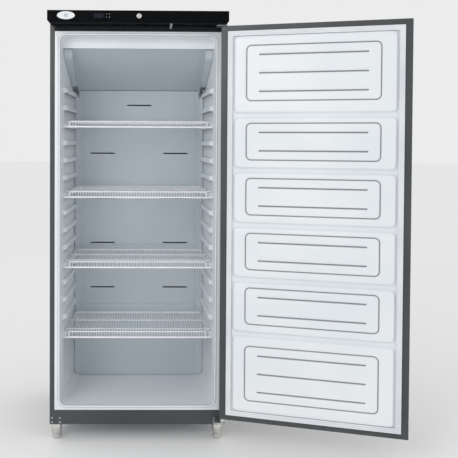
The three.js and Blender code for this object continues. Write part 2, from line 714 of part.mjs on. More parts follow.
const plateX = [pinX - hingeHalf, pinX + hingeInset - 1];
const pinY = -hingeForward;
const lugFront = pinY - hingeNose;
const upperLugTop = crownLow - clearance;
const upperLugLow = upperLugTop - hingePlate;
const upperHinge = join([
  block(...plateX, lugFront, -clearance, upperLugLow, upperLugTop),
  block(plateX[0], upperLegEdge, -hingeLeg - clearance, -clearance, upperLugLow, upperLegTop),
  rod("z", doorTop - pinReach, upperLugLow + 1, pinX, pinY, hingePinRadius, 20),
]);
add("upper_hinge", upperHinge, "galvanised");
const headRadius = screwRadius * 1.7;
const headHeight = 1.8;
const lowerScrews = [];
for (const x of screwColumns) {
  for (const z of screwRows) {
    lowerScrews.push(rod("y", -hingeLeg - clearance - headHeight, -hingeLeg, x, z, headRadius, 8));
  }
}
const lowerHinge = join([
  block(...plateX, lugFront, -clearance, lowerHingeTop - hingePlate, lowerHingeTop),
  block(...plateX, -hingeLeg - clearance, -clearance, plateLow, lowerHingeTop),
  rod("z", lowerHingeTop - 1, doorBottom + pinReach, pinX, pinY, hingePinRadius, 20),
  ...lowerScrews,
]);
add("lower_hinge", lowerHinge, "galvanised");

// Threaded plate behind the rail for a hinge on the other side, with its four screws.
const plateEdge = 7; // round the screws
const plateThickness = 4;
const sparePlate = [block(-screwColumns[0] - plateEdge, -screwColumns[1] + plateEdge, behindRail,
  behindRail + plateThickness, screwRows[0] - plateEdge, screwRows[1] + plateEdge)];
for (const x of screwColumns) {
  for (const z of screwRows) {
    sparePlate.push(rod("y", -clearance - 1, behindRail + 1, -x, z, screwRadius, 6));
    sparePlate.push(rod("y", -clearance - headHeight, -clearance, -x, z, headRadius, 8));
  }
}
add("spare_hinge_plate", join(sparePlate), "galvanised");

// ---- door, drawn shut ----

const doorBlock = (inset, y0, y1, endInset = inset) =>
  block(-doorHalf + inset, doorHalf - inset, y0, y1, doorBottom + endInset, doorTop - endInset);
// The opening in the door's inner face, shrunk by inset.
const doorOpening = (inset, y0, y1) => doorBlock(doorMargin + inset, y0, y1, doorMarginEnd + inset);
const gripX = -doorHalf + gripFromEdge + gripWidth / 2;
const gripBox = (grow, y0, y1) => block(gripX - gripWidth / 2 - grow, gripX + gripWidth / 2 + grow, y0, y1,
  gripCentre - gripHeight / 2 - grow, gripCentre + gripHeight / 2 + grow);
const camPocketX = [lockX - camWidth - 2, lockX + camLength - 4];
const camPocketDepth = 16;
const camPocket = block(...camPocketX, ...camSlot, doorTop - camPocketDepth, doorTop + 1);
const bushHole = (z0, z1) => rod("z", z0, z1, pinX, pinY, bushRadius + clearance, 20);
const bushHoles = bushHole(doorBottom - 1, doorBottom + pinReach + 3).add(
  bushHole(doorTop - pinReach - 3, doorTop + 1));
const doorSkin = doorBlock(0, doorFront, doorBack)
  .subtract(doorBlock(sheet, doorFront + sheet, doorBack - sheet))
  .subtract(doorOpening(0, doorBack - gasketPocket, doorBack + 1))
  .subtract(join([bushHoles, camPocket, gripBox(gripWall + clearance, doorFront - 1, doorFront + 9)]));
add("door_skin", doorSkin, "paint", door);

// The six raised panels of the door's inner face, shrunk by inset, from y0 to y1.
const panelHalf = doorHalf - doorMargin - gasketWidth - panelMarginSide;
const panelEnd = doorMarginEnd + gasketWidth + panelMarginEnd;
const panelTop = doorTop - panelEnd;
const panelRoom = panelTop - doorBottom - panelEnd;
const shareTotal = panelShares.reduce((a, b) => a + b);
const panelSpans = [];
let panelZ = panelTop;
for (const share of panelShares) {
  const height = (share / shareTotal) * (panelRoom - panelGap * (panelShares.length - 1));
  panelSpans.push([panelZ - height, panelZ]);
  panelZ -= height + panelGap;
}
const raised = (inset, y0, y1) => join(panelSpans.map(([low, high]) => solid(drawnAlongY(
  roundedRectangle(-panelHalf + inset, panelHalf - inset, low + inset, high - inset,
    panelRadius - inset), y0, y1))));
const doorLinerBack = doorBack - linerWall;
const panelFace = doorBack + panelProud;
const doorLiner = doorOpening(clearance, doorLinerBack, doorBack)
  .add(raised(0, doorBack - 1, panelFace))
  .subtract(raised(linerWall, doorLinerBack - 1, panelFace - linerWall));
add("door_liner", doorLiner, "liner", door);

const doorFoam = doorBlock(sheet + clearance, doorFront + sheet + clearance, doorLinerBack - clearance)
  .add(raised(linerWall + clearance, doorLinerBack - 2, panelFace - linerWall - clearance))
  .subtract(gripBox(gripWall + clearance, doorFront - 1, doorFront + gripDepth + gripWall + clearance))
  .subtract(bushHoles)
  .subtract(block(camPocketX[0] - 1, camPocketX[1] + 1, camSlot[0] - 1, camSlot[1] + 1,
    doorTop - camPocketDepth - 2, doorTop));
add("door_foam", doorFoam, "foam", door);

const gasketOuter = doorOpening(clearance, doorBack + clearance, doorBack + clearance + gasketThickness);
const gasketInner = doorOpening(gasketWidth, doorBack - 1, doorBack + gasketThickness + 2);
add("door_gasket", gasketOuter.subtract(gasketInner), "gasket", door);

const gripCup = gripBox(gripWall, doorFront - clearance - 1, doorFront + gripDepth + gripWall)
  .add(gripBox(gripWall + gripFlange, doorFront - clearance - 2, doorFront - clearance))
  .subtract(gripBox(0, doorFront - 9, doorFront + gripDepth));
add("door_grip", gripCup, "dark", door);

const bushBore = hingePinRadius + hingeClearance;
const bush = (z0, z1, bore0, bore1) => rod("z", z0, z1, pinX, pinY, bushRadius, 20).subtract(
  rod("z", bore0, bore1, pinX, pinY, bushBore, 20));
add("door_bush_lower",
  bush(lowerHingeTop + clearance, doorBottom + pinReach + 2.5, lowerHingeTop - 9, doorBottom + pinReach + 1),
  "wire", door);
add("door_bush_upper",
  bush(doorTop - pinReach - 2.5, doorTop - clearance, doorTop - pinReach - 1, doorTop + 9), "wire", door);

// ---- legs ----

const boreTop = legHeight - 8;
for (const [corner, x, y] of [
  ["front_left", -bodyHalf + legInset, legFromFront],
  ["front_right", bodyHalf - legInset, legFromFront],
  ["rear_left", -bodyHalf + legInset, bodyDepth - legFromBack],
  ["rear_right", bodyHalf - legInset, bodyDepth - legFromBack],
]) {
  const bore = stemRadius + stemClearance;
  const sleeveLow = footHeight + 1;
  const taper = 12;
  add("leg_" + corner, turned([
    [0, boreTop],
    [bore, boreTop],
    [bore, sleeveLow],
    [legRadius - 3, sleeveLow],
    [legRadius, sleeveLow + taper],
    [legRadius, legHeight - clearance],
    [0, legHeight - clearance],
  ], x, y), "steel");
  add("foot_" + corner, turned([
    [0, 0],
    [footRadius - 4, 0],
    [footRadius, 6],
    [footRadius, footHeight],
    [stemRadius, footHeight],
    [stemRadius, boreTop - 2],
    [0, boreTop - 2],
  ], x, y), "steel");
}

// ---- machine compartment ----

const trayHalf = innerHalf - clearance;
const trayTop = legHeight + 2;
add("compressor_tray",
  block(-trayHalf, trayHalf, machineFront + clearance, beforeBack, legHeight, trayTop), "galvanised");

const machineMiddle = (machineFront + bodyDepth) / 2;
const compressorX = 215;
const compressorLow = trayTop + clearance + 12;
const dome = turned([
  [0, compressorLow],
  [compressorRadius - 8, compressorLow],
  [compressorRadius, compressorLow + 14],
  [compressorRadius, compressorLow + compressorHeight * 0.68],
  [compressorRadius * 0.8, compressorLow + compressorHeight * 0.92],
  [compressorRadius * 0.4, compressorLow + compressorHeight],
  [0, compressorLow + compressorHeight],
], compressorX, machineMiddle, 20);
const compressorFeet = [block(compressorX - 92, compressorX + 92, machineMiddle - 32, machineMiddle + 32,
  compressorLow, compressorLow + 3)];
for (const [dx, dy] of [[-82, -24], [82, -24], [-82, 24], [82, 24]]) {
  compressorFeet.push(rod("z", trayTop + clearance, compressorLow + 2, compressorX + dx,
    machineMiddle + dy, 8, 12));
}
add("compressor", join([dome, ...compressorFeet]), "dark");

const condenserX = -bodyHalf + 90;
const condenserLow = trayTop + 6;
const condenserY = [machineFront + 12, bodyDepth - 14];
const condenserFins = 7;
add("condenser_coil", finned(condenserX, condenserX + condenserWidth, ...condenserY, condenserLow,
  condenserLow + condenserHeight, condenserFins).add(
  block(condenserX, condenserX + condenserWidth, condenserY[0], condenserY[0] + 1.5, trayTop + clearance,
    condenserLow + 3)), "copper");
const condFanX = condenserX + condenserWidth + 42;
const condFanZ = condenserLow + condenserHeight / 2;
const condFrame = condenserFanRadius + shroudEdge;
const condShroud = block(condFanX - 1, condFanX - 1 + shroudPlate, machineMiddle - condFrame,
  machineMiddle + condFrame, trayTop + clearance, condFanZ + condFrame).subtract(
  rod("x", condFanX - 9, condFanX + 9, machineMiddle, condFanZ, condenserFanRadius + shroudPlay, 24));
add("condenser_fan_shroud", condShroud, "galvanised");
const condenserRotor = add("condenser_fan_blade", rotor(condenserFanRadius), "dark");
condenserRotor.rotation.y = Math.PI / 2;
condenserRotor.position.set(condFanX, machineMiddle, condFanZ);
add("condenser_fan_motor", motor("x", condFanX, machineMiddle, condFanZ, condenserFanRadius), "dark");

const waterTrayX = [condFanX + 90, condFanX + 215];
const waterTrayY = [machineFront + 12, bodyDepth - 16];
const waterTrayWall = 2;
const waterTrayTop = trayTop + clearance + 34;
const waterTray = (wall, low, high) => block(waterTrayX[0] + wall, waterTrayX[1] - wall,
  waterTrayY[0] + wall, waterTrayY[1] - wall, low, high);
add("evaporation_tray", waterTray(0, trayTop + clearance, waterTrayTop)
  .subtract(waterTray(waterTrayWall, trayTop + clearance + waterTrayWall, waterTrayTop + 9)), "dark");

const louvres = [];
const louvreWidth = 150;
const louvreHeight = 12;
const louvrePitch = 32;
const louvreCount = 6;
const louvreLow = legHeight + 60;
const louvreSpread = innerHalf * 0.56;
for (const middle of [-louvreSpread, 0, louvreSpread]) {
  for (let i = 0; i < louvreCount; i++) {
    const z = louvreLow + i * louvrePitch;
    louvres.push(block(middle - louvreWidth / 2, middle + louvreWidth / 2, bodyDepth - 9,
      bodyDepth + 1, z, z + louvreHeight));
  }
}
const glandX = innerHalf - 50;
const glandZ = legHeight + 32;
const glandRadius = 9;
const glandFlange = 13;
const leadRadius = 4.5;
const grille = block(-innerHalf, innerHalf, bodyDepth - sheet, bodyDepth, legHeight, machineTop);
add("rear_grille", grille.subtract(join(louvres)).subtract(
  rod("y", bodyDepth - 9, bodyDepth + 1, glandX, glandZ, glandRadius + clearance, 20)), "galvanised");
add("cord_gland", rod("y", bodyDepth - 8, bodyDepth + 6, glandX, glandZ, glandRadius, 20)
  .add(rod("y", bodyDepth + clearance, bodyDepth + 6, glandX, glandZ, glandFlange, 20))
  .subtract(rod("y", bodyDepth - 9, bodyDepth + 9, glandX, glandZ, leadRadius, 16)), "dark");

// ---- origin: middle of the footprint, on the floor ----

const bounds = new THREE.Box3().setFromObject(object, true);
const middleOf = bounds.getCenter(new THREE.Vector3());
object.position.set(-middleOf.x, -middleOf.y, -bounds.min.z);

export default object;
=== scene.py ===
"""An upright one-door freezer cabinet with its door open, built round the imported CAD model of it.

Metres, +Z up. The sections follow the cabinet as it is put together: the view, the steel casing, the
liner, the air duct, the evaporator, the shelves, the crown, the hinges, the door, the legs and the
machinery. Shapes are worked out round the foot of the cabinet's front face, with X = 0 on its middle and
Y = 0 on its front, and moved from there to the model's own frame.
"""
import json
import math

import bmesh
import bpy
import numpy as np
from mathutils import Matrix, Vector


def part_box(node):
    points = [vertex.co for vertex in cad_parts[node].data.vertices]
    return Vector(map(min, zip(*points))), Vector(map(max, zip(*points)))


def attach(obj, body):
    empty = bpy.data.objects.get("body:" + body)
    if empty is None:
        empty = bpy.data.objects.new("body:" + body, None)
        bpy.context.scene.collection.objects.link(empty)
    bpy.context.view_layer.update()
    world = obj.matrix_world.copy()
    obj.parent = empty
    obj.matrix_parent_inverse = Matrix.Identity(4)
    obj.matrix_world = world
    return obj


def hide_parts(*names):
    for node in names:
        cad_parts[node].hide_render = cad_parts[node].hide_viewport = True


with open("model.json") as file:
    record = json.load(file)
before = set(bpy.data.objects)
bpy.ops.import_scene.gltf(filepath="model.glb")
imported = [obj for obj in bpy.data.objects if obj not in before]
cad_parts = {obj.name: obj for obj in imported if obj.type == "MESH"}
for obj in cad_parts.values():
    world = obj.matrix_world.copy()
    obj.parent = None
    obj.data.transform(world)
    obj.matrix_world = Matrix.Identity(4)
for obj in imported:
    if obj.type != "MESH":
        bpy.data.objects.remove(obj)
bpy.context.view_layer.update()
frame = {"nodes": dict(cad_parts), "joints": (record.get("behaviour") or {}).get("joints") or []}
mm = 0.001

# ---- The place of the cabinet in the frame ----
# The two steel sides stand for the cabinet's width and its front face. The door turns on a pin near the
# right one, and stands open at rest by as much as its joint can still close it.

left_low, left_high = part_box("side_panel_left")
right_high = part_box("side_panel_right")[1]
datum = np.array([(left_low.x + right_high.x) / 2, left_low.y, 0.0])
half_width = (right_high.x - left_low.x) / 2
depth = left_high.y - left_low.y
casing_low, casing_high = left_low.z, left_high.z
hinge = next(j for j in frame["joints"] if j["name"] == "door_hinge")
pin = np.array(hinge["pos_m"]) - datum
open_angle = math.radians(-hinge["range_deg"][0])


def hung(points):
    """Points of the shut door, turned about the pin by the angle at which the door stands open."""
    c, s = math.cos(open_angle), math.sin(open_angle)
    out = np.array(points, float)
    x, y = out[..., 0] - pin[0], out[..., 1] - pin[1]
    out[..., 0], out[..., 1] = pin[0] + c * x - s * y, pin[1] + s * x + c * y
    return out


def box_of(node):
    """A CAD node's two corners, measured from the cabinet's own datum."""
    low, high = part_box(node)
    return np.array(low) - datum, np.array(high) - datum


# ---- The view ----
# Seen by a person who stands a little to the right of the middle with eyes at 1.3 m, from 2.9 m away.
# The lens is short, and its shift keeps the cabinet's uprights nearly parallel.

eye = datum + np.array([0.0374, -2.9158, 1.3333])
pitch, roll, yaw = 0.0208, 0.0045, 0.0106
camera_data = bpy.data.cameras.new("view")
camera_data.lens = 51.87
camera_data.sensor_width = 36
camera_data.shift_x = 0.1649
camera_data.shift_y = -0.16
camera = bpy.data.objects.new("view", camera_data)
camera.location = eye
camera.rotation_euler = (math.pi / 2 - pitch, -roll, -yaw)
bpy.context.scene.collection.objects.link(camera)
bpy.context.scene.camera = camera

# ---- Floor and light ----
# A pale studio floor that runs on to a pale horizon, a broad soft light from the upper left in front, a
# weaker one from the right, and an even white surround.


def set_sockets(node, **values):
    """Sets a node's sockets by name, with underscores for spaces."""
    for name, value in values.items():
        node.inputs[name.replace("_", " ")].default_value = value


def srgb(red, green, blue):
    """A colour given in 0 to 255 as shown on a screen, as the linear light that a shader takes."""
    part = np.array([red, green, blue]) / 255
    light = np.where(part <= 0.04045, part / 12.92, ((part + 0.055) / 1.055) ** 2.4)
    return (*[float(v) for v in light], 1.0)


floor_mesh = bpy.data.meshes.new("studio_floor")
reach = 40.0
floor_mesh.from_pydata([(-reach, -reach, 0), (reach, -reach, 0), (reach, reach, 0), (-reach, reach, 0)],
                       [], [(0, 1, 2, 3)])
floor = bpy.data.objects.new("studio_floor", floor_mesh)
bpy.context.scene.collection.objects.link(floor)
floor_paper = bpy.data.materials.new("studio_paper")
floor_paper.use_nodes = True
set_sockets(floor_paper.node_tree.nodes["Principled BSDF"], Base_Color=(0.94, 0.94, 0.94, 1), Roughness=0.9)
floor_mesh.materials.append(floor_paper)

world = bpy.data.worlds.new("surround")
bpy.context.scene.world = world
world.use_nodes = True
world.node_tree.nodes["Background"].inputs["Color"].default_value = (1.0, 1.0, 1.0, 1)
world.node_tree.nodes["Background"].inputs["Strength"].default_value = 0.84
bpy.context.scene.view_settings.view_transform = "Standard"


def soft_light(name, place, aim, width, height, power):
    """A rectangular light at place, facing aim, both measured from the cabinet's datum."""
    data = bpy.data.lights.new(name, "AREA")
    data.shape, data.size, data.size_y, data.energy = "RECTANGLE", width, height, power
    light = bpy.data.objects.new(name, data)
    light.location = datum + np.array(place)
    toward = np.array(aim) - np.array(place)
    pan = math.atan2(toward[0], toward[1])
    tilt = math.atan2(-toward[2], math.hypot(toward[0], toward[1]))
    light.rotation_euler = (math.pi / 2 - tilt, 0, -pan)
    light.visible_camera = False
    bpy.context.scene.collection.objects.link(light)


soft_light("key", (-1.9, -3.4, 2.7), (0.3, 0.0, 0.9), 1.6, 1.4, 34)
soft_light("fill", (2.9, -3.6, 1.5), (0.1, 0.2, 1.0), 2.0, 2.4, 4)

# ---- Steel casing ----
# The sides are folded from one sheet each, with a return at the front that frames the liner. A rail in the
# same dark powder coat closes the front below. Top, back and bottom are bare galvanised sheet.


def add_piece(name, points, faces, body, slot, stands_for=(), outward=None, material=None):
    """
    A mesh from an array of points and a list of faces, in the cabinet's own datum, that rides on a body.
    A closed mesh whose signed volume (the sum of a.(b x c) / 6 over its triangles) is negative is turned
    round, and so is an open sheet whose summed face normals point against outward.
    """
    verts = np.asarray(points, float).reshape(-1, 3)
    mesh = bpy.data.meshes.new(name)
    faces = [list(map(int, f)) for f in faces]
    fans = np.array([(f[0], f[i], f[i + 1]) for f in faces for i in range(1, len(f) - 1)])
    a, b, c = verts[fans[:, 0]], verts[fans[:, 1]], verts[fans[:, 2]]
    normals = np.cross(b - a, c - a)
    if outward is None:
        centre = verts.mean(0)
        facing = np.einsum("ij,ij->i", a - centre, normals).sum()
    else:
        facing = normals.sum(0) @ np.array(outward, float)
    if facing < 0:
        faces = [f[::-1] for f in faces]
    mesh.from_pydata((verts + datum).tolist(), [], faces)
    mesh.polygons.foreach_set("use_smooth", np.ones(len(faces), bool))
    mesh.update()
    made = bpy.data.objects.new(name, mesh)
    bpy.context.scene.collection.objects.link(made)
    if material is not None:
        mesh.materials.append(material)
    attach(made, body)
    if stands_for:
        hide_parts(*stands_for)
    return made


def grid_faces(rows, columns, wrap_rows=False, wrap_columns=False, start=0):
    """The quads between neighbours of a grid of points stored row by row."""
    r = np.arange(rows if wrap_rows else rows - 1)
    c = np.arange(columns if wrap_columns else columns - 1)
    i, j = np.meshgrid(r, c, indexing="ij")
    k, l = (i + 1) % rows, (j + 1) % columns
    quads = np.stack([i * columns + j, i * columns + l, k * columns + l, k * columns + j], -1)
    return (quads.reshape(-1, 4) + start).tolist()


def bend(centre, radius, start, stop, steps=5):
    """Points of a sheet's bend: centre + radius (cos t, sin t), with t from start to stop in degrees."""
    t = np.radians(np.linspace(start, stop, steps))
    return np.stack([centre[0] + radius * np.cos(t), centre[1] + radius * np.sin(t)], 1)


def thicken(made, thickness):
    """Gives an open sheet its wall, on the side away from its faces, and keeps its flats flat."""
    wall = made.modifiers.new("wall", "SOLIDIFY")
    wall.thickness, wall.offset, wall.use_even_offset = thickness, -1.0, True
    made.modifiers.new("flats", "WEIGHTED_NORMAL")
    return made


def rounded_edges(made, width, segments=2, angle=38):
    """Breaks the sharp edges of a piece, and weights the normals so that its flats stay flat."""
    edge = made.modifiers.new("edges", "BEVEL")
    edge.width, edge.segments, edge.limit_method = width, segments, "ANGLE"
    edge.angle_limit = math.radians(angle)
    edge.use_clamp_overlap = True
    weight = made.modifiers.new("flats", "WEIGHTED_NORMAL")
    weight.keep_sharp = False
    return made


def new_finish(name, colour, roughness, metallic=0.0, **sockets):
    """A surface of one base colour, roughness and metalness, and the nodes that its detail is hung on."""
    finish = bpy.data.materials.new(name)
    finish.use_nodes = True
    shader = finish.node_tree.nodes["Principled BSDF"]
    set_sockets(shader, Base_Color=colour, Roughness=roughness, Metallic=metallic, **sockets)
    return finish


def pattern(finish, kind, scale, detail=2.0, stretch=(1, 1, 1)):
    """A noise or Voronoi cell pattern laid through space, stretched along the axes, as a 0 to 1 output."""
    tree = finish.node_tree
    place = tree.nodes.get("Texture Coordinate") or tree.nodes.new("ShaderNodeTexCoord")
    turn = tree.nodes.new("ShaderNodeMapping")
    turn.inputs["Scale"].default_value = stretch
    tree.links.new(place.outputs["Object"], turn.inputs["Vector"])
    if kind == "noise":
        texture = tree.nodes.new("ShaderNodeTexNoise")
        set_sockets(texture, Scale=scale, Detail=detail)
        tree.links.new(turn.outputs["Vector"], texture.inputs["Vector"])
        return texture.outputs["Fac"]
    texture = tree.nodes.new("ShaderNodeTexVoronoi")
    set_sockets(texture, Scale=scale)
    tree.links.new(turn.outputs["Vector"], texture.inputs["Vector"])
    return texture.outputs["Color"]


def spread(finish, source, low, high, first=0.3, last=0.7):
    """Maps a pattern's first to last values on to low to high, for a roughness or a height."""
    tree = finish.node_tree
    node = tree.nodes.new("ShaderNodeMapRange")
    set_sockets(node, From_Min=first, From_Max=last, To_Min=low, To_Max=high)
    tree.links.new(source, node.inputs["Value"])
    return node.outputs["Result"]


def tinted(finish, source, one, other, first=0.35, last=0.65):
    """Runs the base colour from one colour to the other with a pattern of the given kind and scale."""
    tree = finish.node_tree
    source = pattern(finish, *source)
    ramp = tree.nodes.new("ShaderNodeValToRGB")
    ramp.color_ramp.elements[0].position, ramp.color_ramp.elements[0].color = first, one
    ramp.color_ramp.elements[1].position, ramp.color_ramp.elements[1].color = last, other
    tree.links.new(source, ramp.inputs["Fac"])
    tree.links.new(ramp.outputs["Color"], tree.nodes["Principled BSDF"].inputs["Base Color"])


def roughened(finish, source, low, high):
    """Varies the roughness with a pattern of the given kind and scale."""
    tree = finish.node_tree
    rough = spread(finish, pattern(finish, *source), low, high)
    tree.links.new(rough, tree.nodes["Principled BSDF"].inputs["Roughness"])


def embossed(finish, source, height, strength=1.0):
    """Adds a pattern's relief, with its height in metres, on top of any relief that is there."""
    tree = finish.node_tree
    source = pattern(finish, *source)
    shader = tree.nodes["Principled BSDF"]
    bump = tree.nodes.new("ShaderNodeBump")
    set_sockets(bump, Distance=height, Strength=strength)
    tree.links.new(source, bump.inputs["Height"])
    if shader.inputs["Normal"].links:
        tree.links.new(shader.inputs["Normal"].links[0].from_socket, bump.inputs["Normal"])
    tree.links.new(bump.outputs["Normal"], shader.inputs["Normal"])


powder_coat = new_finish("charcoal_powder_coat", srgb(62, 66, 68), 0.42, 0.0, Coat_Weight=0.12,
                         Coat_Roughness=0.3)
tinted(powder_coat, ("noise", 3.0, 4.0), srgb(57, 61, 64), srgb(66, 70, 72))
roughened(powder_coat, ("noise", 11.0, 5.0), 0.36, 0.5)
embossed(powder_coat, ("noise", 900.0, 1.0), 0.00008, 0.35)

zinc = new_finish("spangled_zinc", srgb(178, 182, 186), 0.42, 1.0)
tinted(zinc, ("cells", 75.0), srgb(160, 165, 170), srgb(196, 200, 204),
       0.1, 0.9)
roughened(zinc, ("cells", 75.0), 0.34, 0.52)
embossed(zinc, ("noise", 420.0, 3.0), 0.00005, 0.3)

sheet = 0.8 * mm
front_bend = 2.0 * mm
rail_low, rail_high = box_of("lower_front_rail")
side_return = half_width - box_of("upper_front_rail")[1][0] - 0.3 * mm
for side, name in ((-1, "side_panel_left"), (1, "side_panel_right")):
    edge = half_width - front_bend
    fold = np.vstack([
        [[half_width, depth]],
        bend((edge, front_bend), front_bend, 0, -90),
        [[half_width - side_return + front_bend, 0]],
        bend((half_width - side_return + front_bend, front_bend), front_bend, -90, -170),
    ])
    plain = np.vstack([[[half_width, depth]], bend((edge, front_bend), front_bend, 0, -80)])
    points, faces = [], []
    for outline, low, high in ((fold, rail_high[2] + 0.3 * mm, casing_high),
                               (plain, casing_low, rail_high[2])):
        levels = np.linspace(low, high, 3)
        grid = np.zeros((len(levels), len(outline), 3))
        grid[..., 0] = side * outline[:, 0]
        grid[..., 1] = outline[:, 1]
        grid[..., 2] = levels[:, None]
        faces += grid_faces(len(levels), len(outline), start=len(np.concatenate(points)) if points else 0)
        points.append(grid.reshape(-1, 3))
    made = add_piece(name + "_sheet", np.concatenate(points), faces, "cabinet", "charcoal_paint", [name],
                     outward=(side, 0, 0), material=powder_coat)
    thicken(made, sheet)


def drawn_sheet(name, outline, half_length, body, slot, stands_for, outward, material, thickness=sheet):
    """A sheet whose outline in Y and Z is drawn along X, from -half_length to half_length."""
    across = np.linspace(-half_length, half_length, 3)
    grid = np.zeros((len(across), len(outline), 3))
    grid[..., 0] = across[:, None]
    grid[..., 1] = outline[:, 0]
    grid[..., 2] = outline[:, 1]
    made = add_piece(name, grid, grid_faces(*grid.shape[:2]), body, slot, stands_for, outward, material)
    return thicken(made, thickness)


low_fold = np.vstack([[[14 * mm, rail_low[2]]],
                      bend((front_bend, rail_low[2] + front_bend), front_bend, -90, -180),
                      [[0, rail_high[2] - 1 * mm]], [[0, rail_high[2]]]])
drawn_sheet("lower_rail_sheet", low_fold, rail_high[0], "cabinet", "charcoal_paint", ["lower_front_rail"],
            (0, -1, 0), powder_coat)
upper_low, upper_high = box_of("upper_front_rail")
upper_fold = np.vstack([bend((front_bend, upper_low[2] + front_bend), front_bend, -100, -180),
                        [[0, upper_high[2] - 1 * mm]], [[0, upper_high[2]]]])
# The upper rail takes the same charcoal powder coat painted darker: a painted shadow for the shade that the
# crown casts on it.
rail_painted_shadow_coat = new_finish("powder_coat_painted_shadow", srgb(30, 33, 37), 0.6, 0.0, Specular_IOR_Level=0.2)
tinted(rail_painted_shadow_coat, ("noise", 3.0, 4.0), srgb(27, 30, 34), srgb(33, 36, 40))
roughened(rail_painted_shadow_coat, ("noise", 11.0, 5.0), 0.54, 0.66)
embossed(rail_painted_shadow_coat, ("noise", 900.0, 1.0), 0.00008, 0.35)
drawn_sheet("upper_rail_sheet", upper_fold, upper_high[0], "cabinet", "charcoal_paint",
            ["upper_front_rail"], (0, -1, 0), rail_painted_shadow_coat)


def paint(node, material):
    """Gives a CAD node that keeps its own shape a finish, in place of the one that it was packed with."""
    for place in frame["nodes"][node].material_slots:
        place.material = material


for node in ("top_panel", "back_panel", "bottom_panel"):
    paint(node, zinc)

# ---- Liner ----
# One vacuum-formed tub of white plastic: a flat flange with a groove round the mouth, a rounded lip, walls
# that draw in towards the back, fifteen runner ledges on each side and a floor that steps down and drains.


def rounded_ring(x0, x1, z0, z1, radius, y, sides=(), ends=(), arc=6):
    """
    A rounded rectangle at depth y, anticlockwise from the lower left corner's end. Each corner is a quarter
    circle of the radius. Extra points lie on the uprights at the heights in sides, and on the level
    stretches at the shares in ends of their length.
    """
    t = np.linspace(0, math.pi / 2, arc)
    sides, ends = np.asarray(sides, float), np.asarray(ends, float)
    level = x0 + radius + ends * (x1 - x0 - 2 * radius)
    parts = [
        np.stack([level, np.full(len(level), z0)], 1),
        np.stack([x1 - radius + radius * np.sin(t), z0 + radius - radius * np.cos(t)], 1),
        np.stack([np.full(len(sides), x1), sides], 1),
        np.stack([x1 - radius + radius * np.cos(t), z1 - radius + radius * np.sin(t)], 1),
        np.stack([level[::-1], np.full(len(level), z1)], 1),
        np.stack([x0 + radius - radius * np.sin(t), z1 - radius + radius * np.cos(t)], 1),
        np.stack([np.full(len(sides), x0), sides[::-1]], 1),
        np.stack([x0 + radius - radius * np.cos(t), z0 + radius - radius * np.sin(t)], 1),
    ]
    flat = np.concatenate(parts)
    return np.stack([flat[:, 0], np.full(len(flat), y), flat[:, 1]], 1)


def ease(value):
    """0 below 0, 1 above 1 and 3v^2 - 2v^3 between."""
    v = np.clip(value, 0, 1)
    return v * v * (3 - 2 * v)


liner_low, liner_high = box_of("inner_liner")
flange_half, flange_low, flange_high = liner_high[0], liner_low[2] + 1.6 * mm, liner_high[2]
mouth_half = flange_half - 23.7 * mm
mouth_low, mouth_high = casing_low + 82 * mm, casing_high - 88 * mm
mouth_radius = 28 * mm
side_draft, ceiling_draft, floor_draft = 0.0396, 0.02, 0.03
runner_pitch, runner_height, runner_proud = 79.5 * mm, 26 * mm, 13.5 * mm
runner_first = casing_low + 365 * mm
runner_front, runner_back, runner_taper = 72 * mm, 428 * mm, 34 * mm
store_back = box_of("cabinet_foam")[1][1] - 178 * mm
tub_back = liner_high[1] - 3 * mm
machine_roof = casing_low + 325 * mm
lip = 6 * mm


def wall_at(y):
    """Half the liner's inner width at depth y."""
    return mouth_half - side_draft * y


runner_rows = runner_first + runner_pitch * np.arange(15)
ledge = np.array([-1.0, 0.2, 1.2, 2.6, 4.5, 21.5, 23.4, 24.8, 25.8, 27.0]) * mm
side_rows = np.sort(np.concatenate([(runner_rows[:, None] + ledge).ravel(),
                                    runner_rows[1:] - runner_pitch / 2 + runner_height / 2]))


def liner_ring(grow, y, low=None):
    """The liner's outline at depth y, grown by grow; low replaces the floor's own height."""
    floor_z = mouth_low - floor_draft * y if low is None else low
    if low is None:
        floor_z += (2 - ease((y - 84 * mm) / (4 * mm)) - ease((y - 165 * mm) / (4 * mm))) * 1.2 * mm
    half = wall_at(y) + grow
    return rounded_ring(-half, half, floor_z - grow, mouth_high - ceiling_draft * y + grow,
                        mouth_radius + grow, y, side_rows, np.linspace(0.03, 0.97, 21), 7)


def ledges(ring, y):
    """Moves the uprights' points in by the runners: proud, eased in and out along Y and over each ledge."""
    along = ease((y - runner_front) / runner_taper) * ease((runner_back - y) / (7 * mm))
    z = ring[:, 2]
    level = np.clip(np.round((z - runner_first - runner_height / 2) / runner_pitch), 0, 14)
    up = z - runner_first - level * runner_pitch
    height = ease((up + 1.0 * mm) / (3.4 * mm)) * ease((runner_height + 1.0 * mm - up) / (3.4 * mm))
    upright = np.abs(np.abs(ring[:, 0]) - np.abs(ring[:, 0]).max()) < 0.5 * mm
    moved = ring.copy()
    moved[:, 0] -= np.sign(ring[:, 0]) * runner_proud * along * height * upright
    return moved


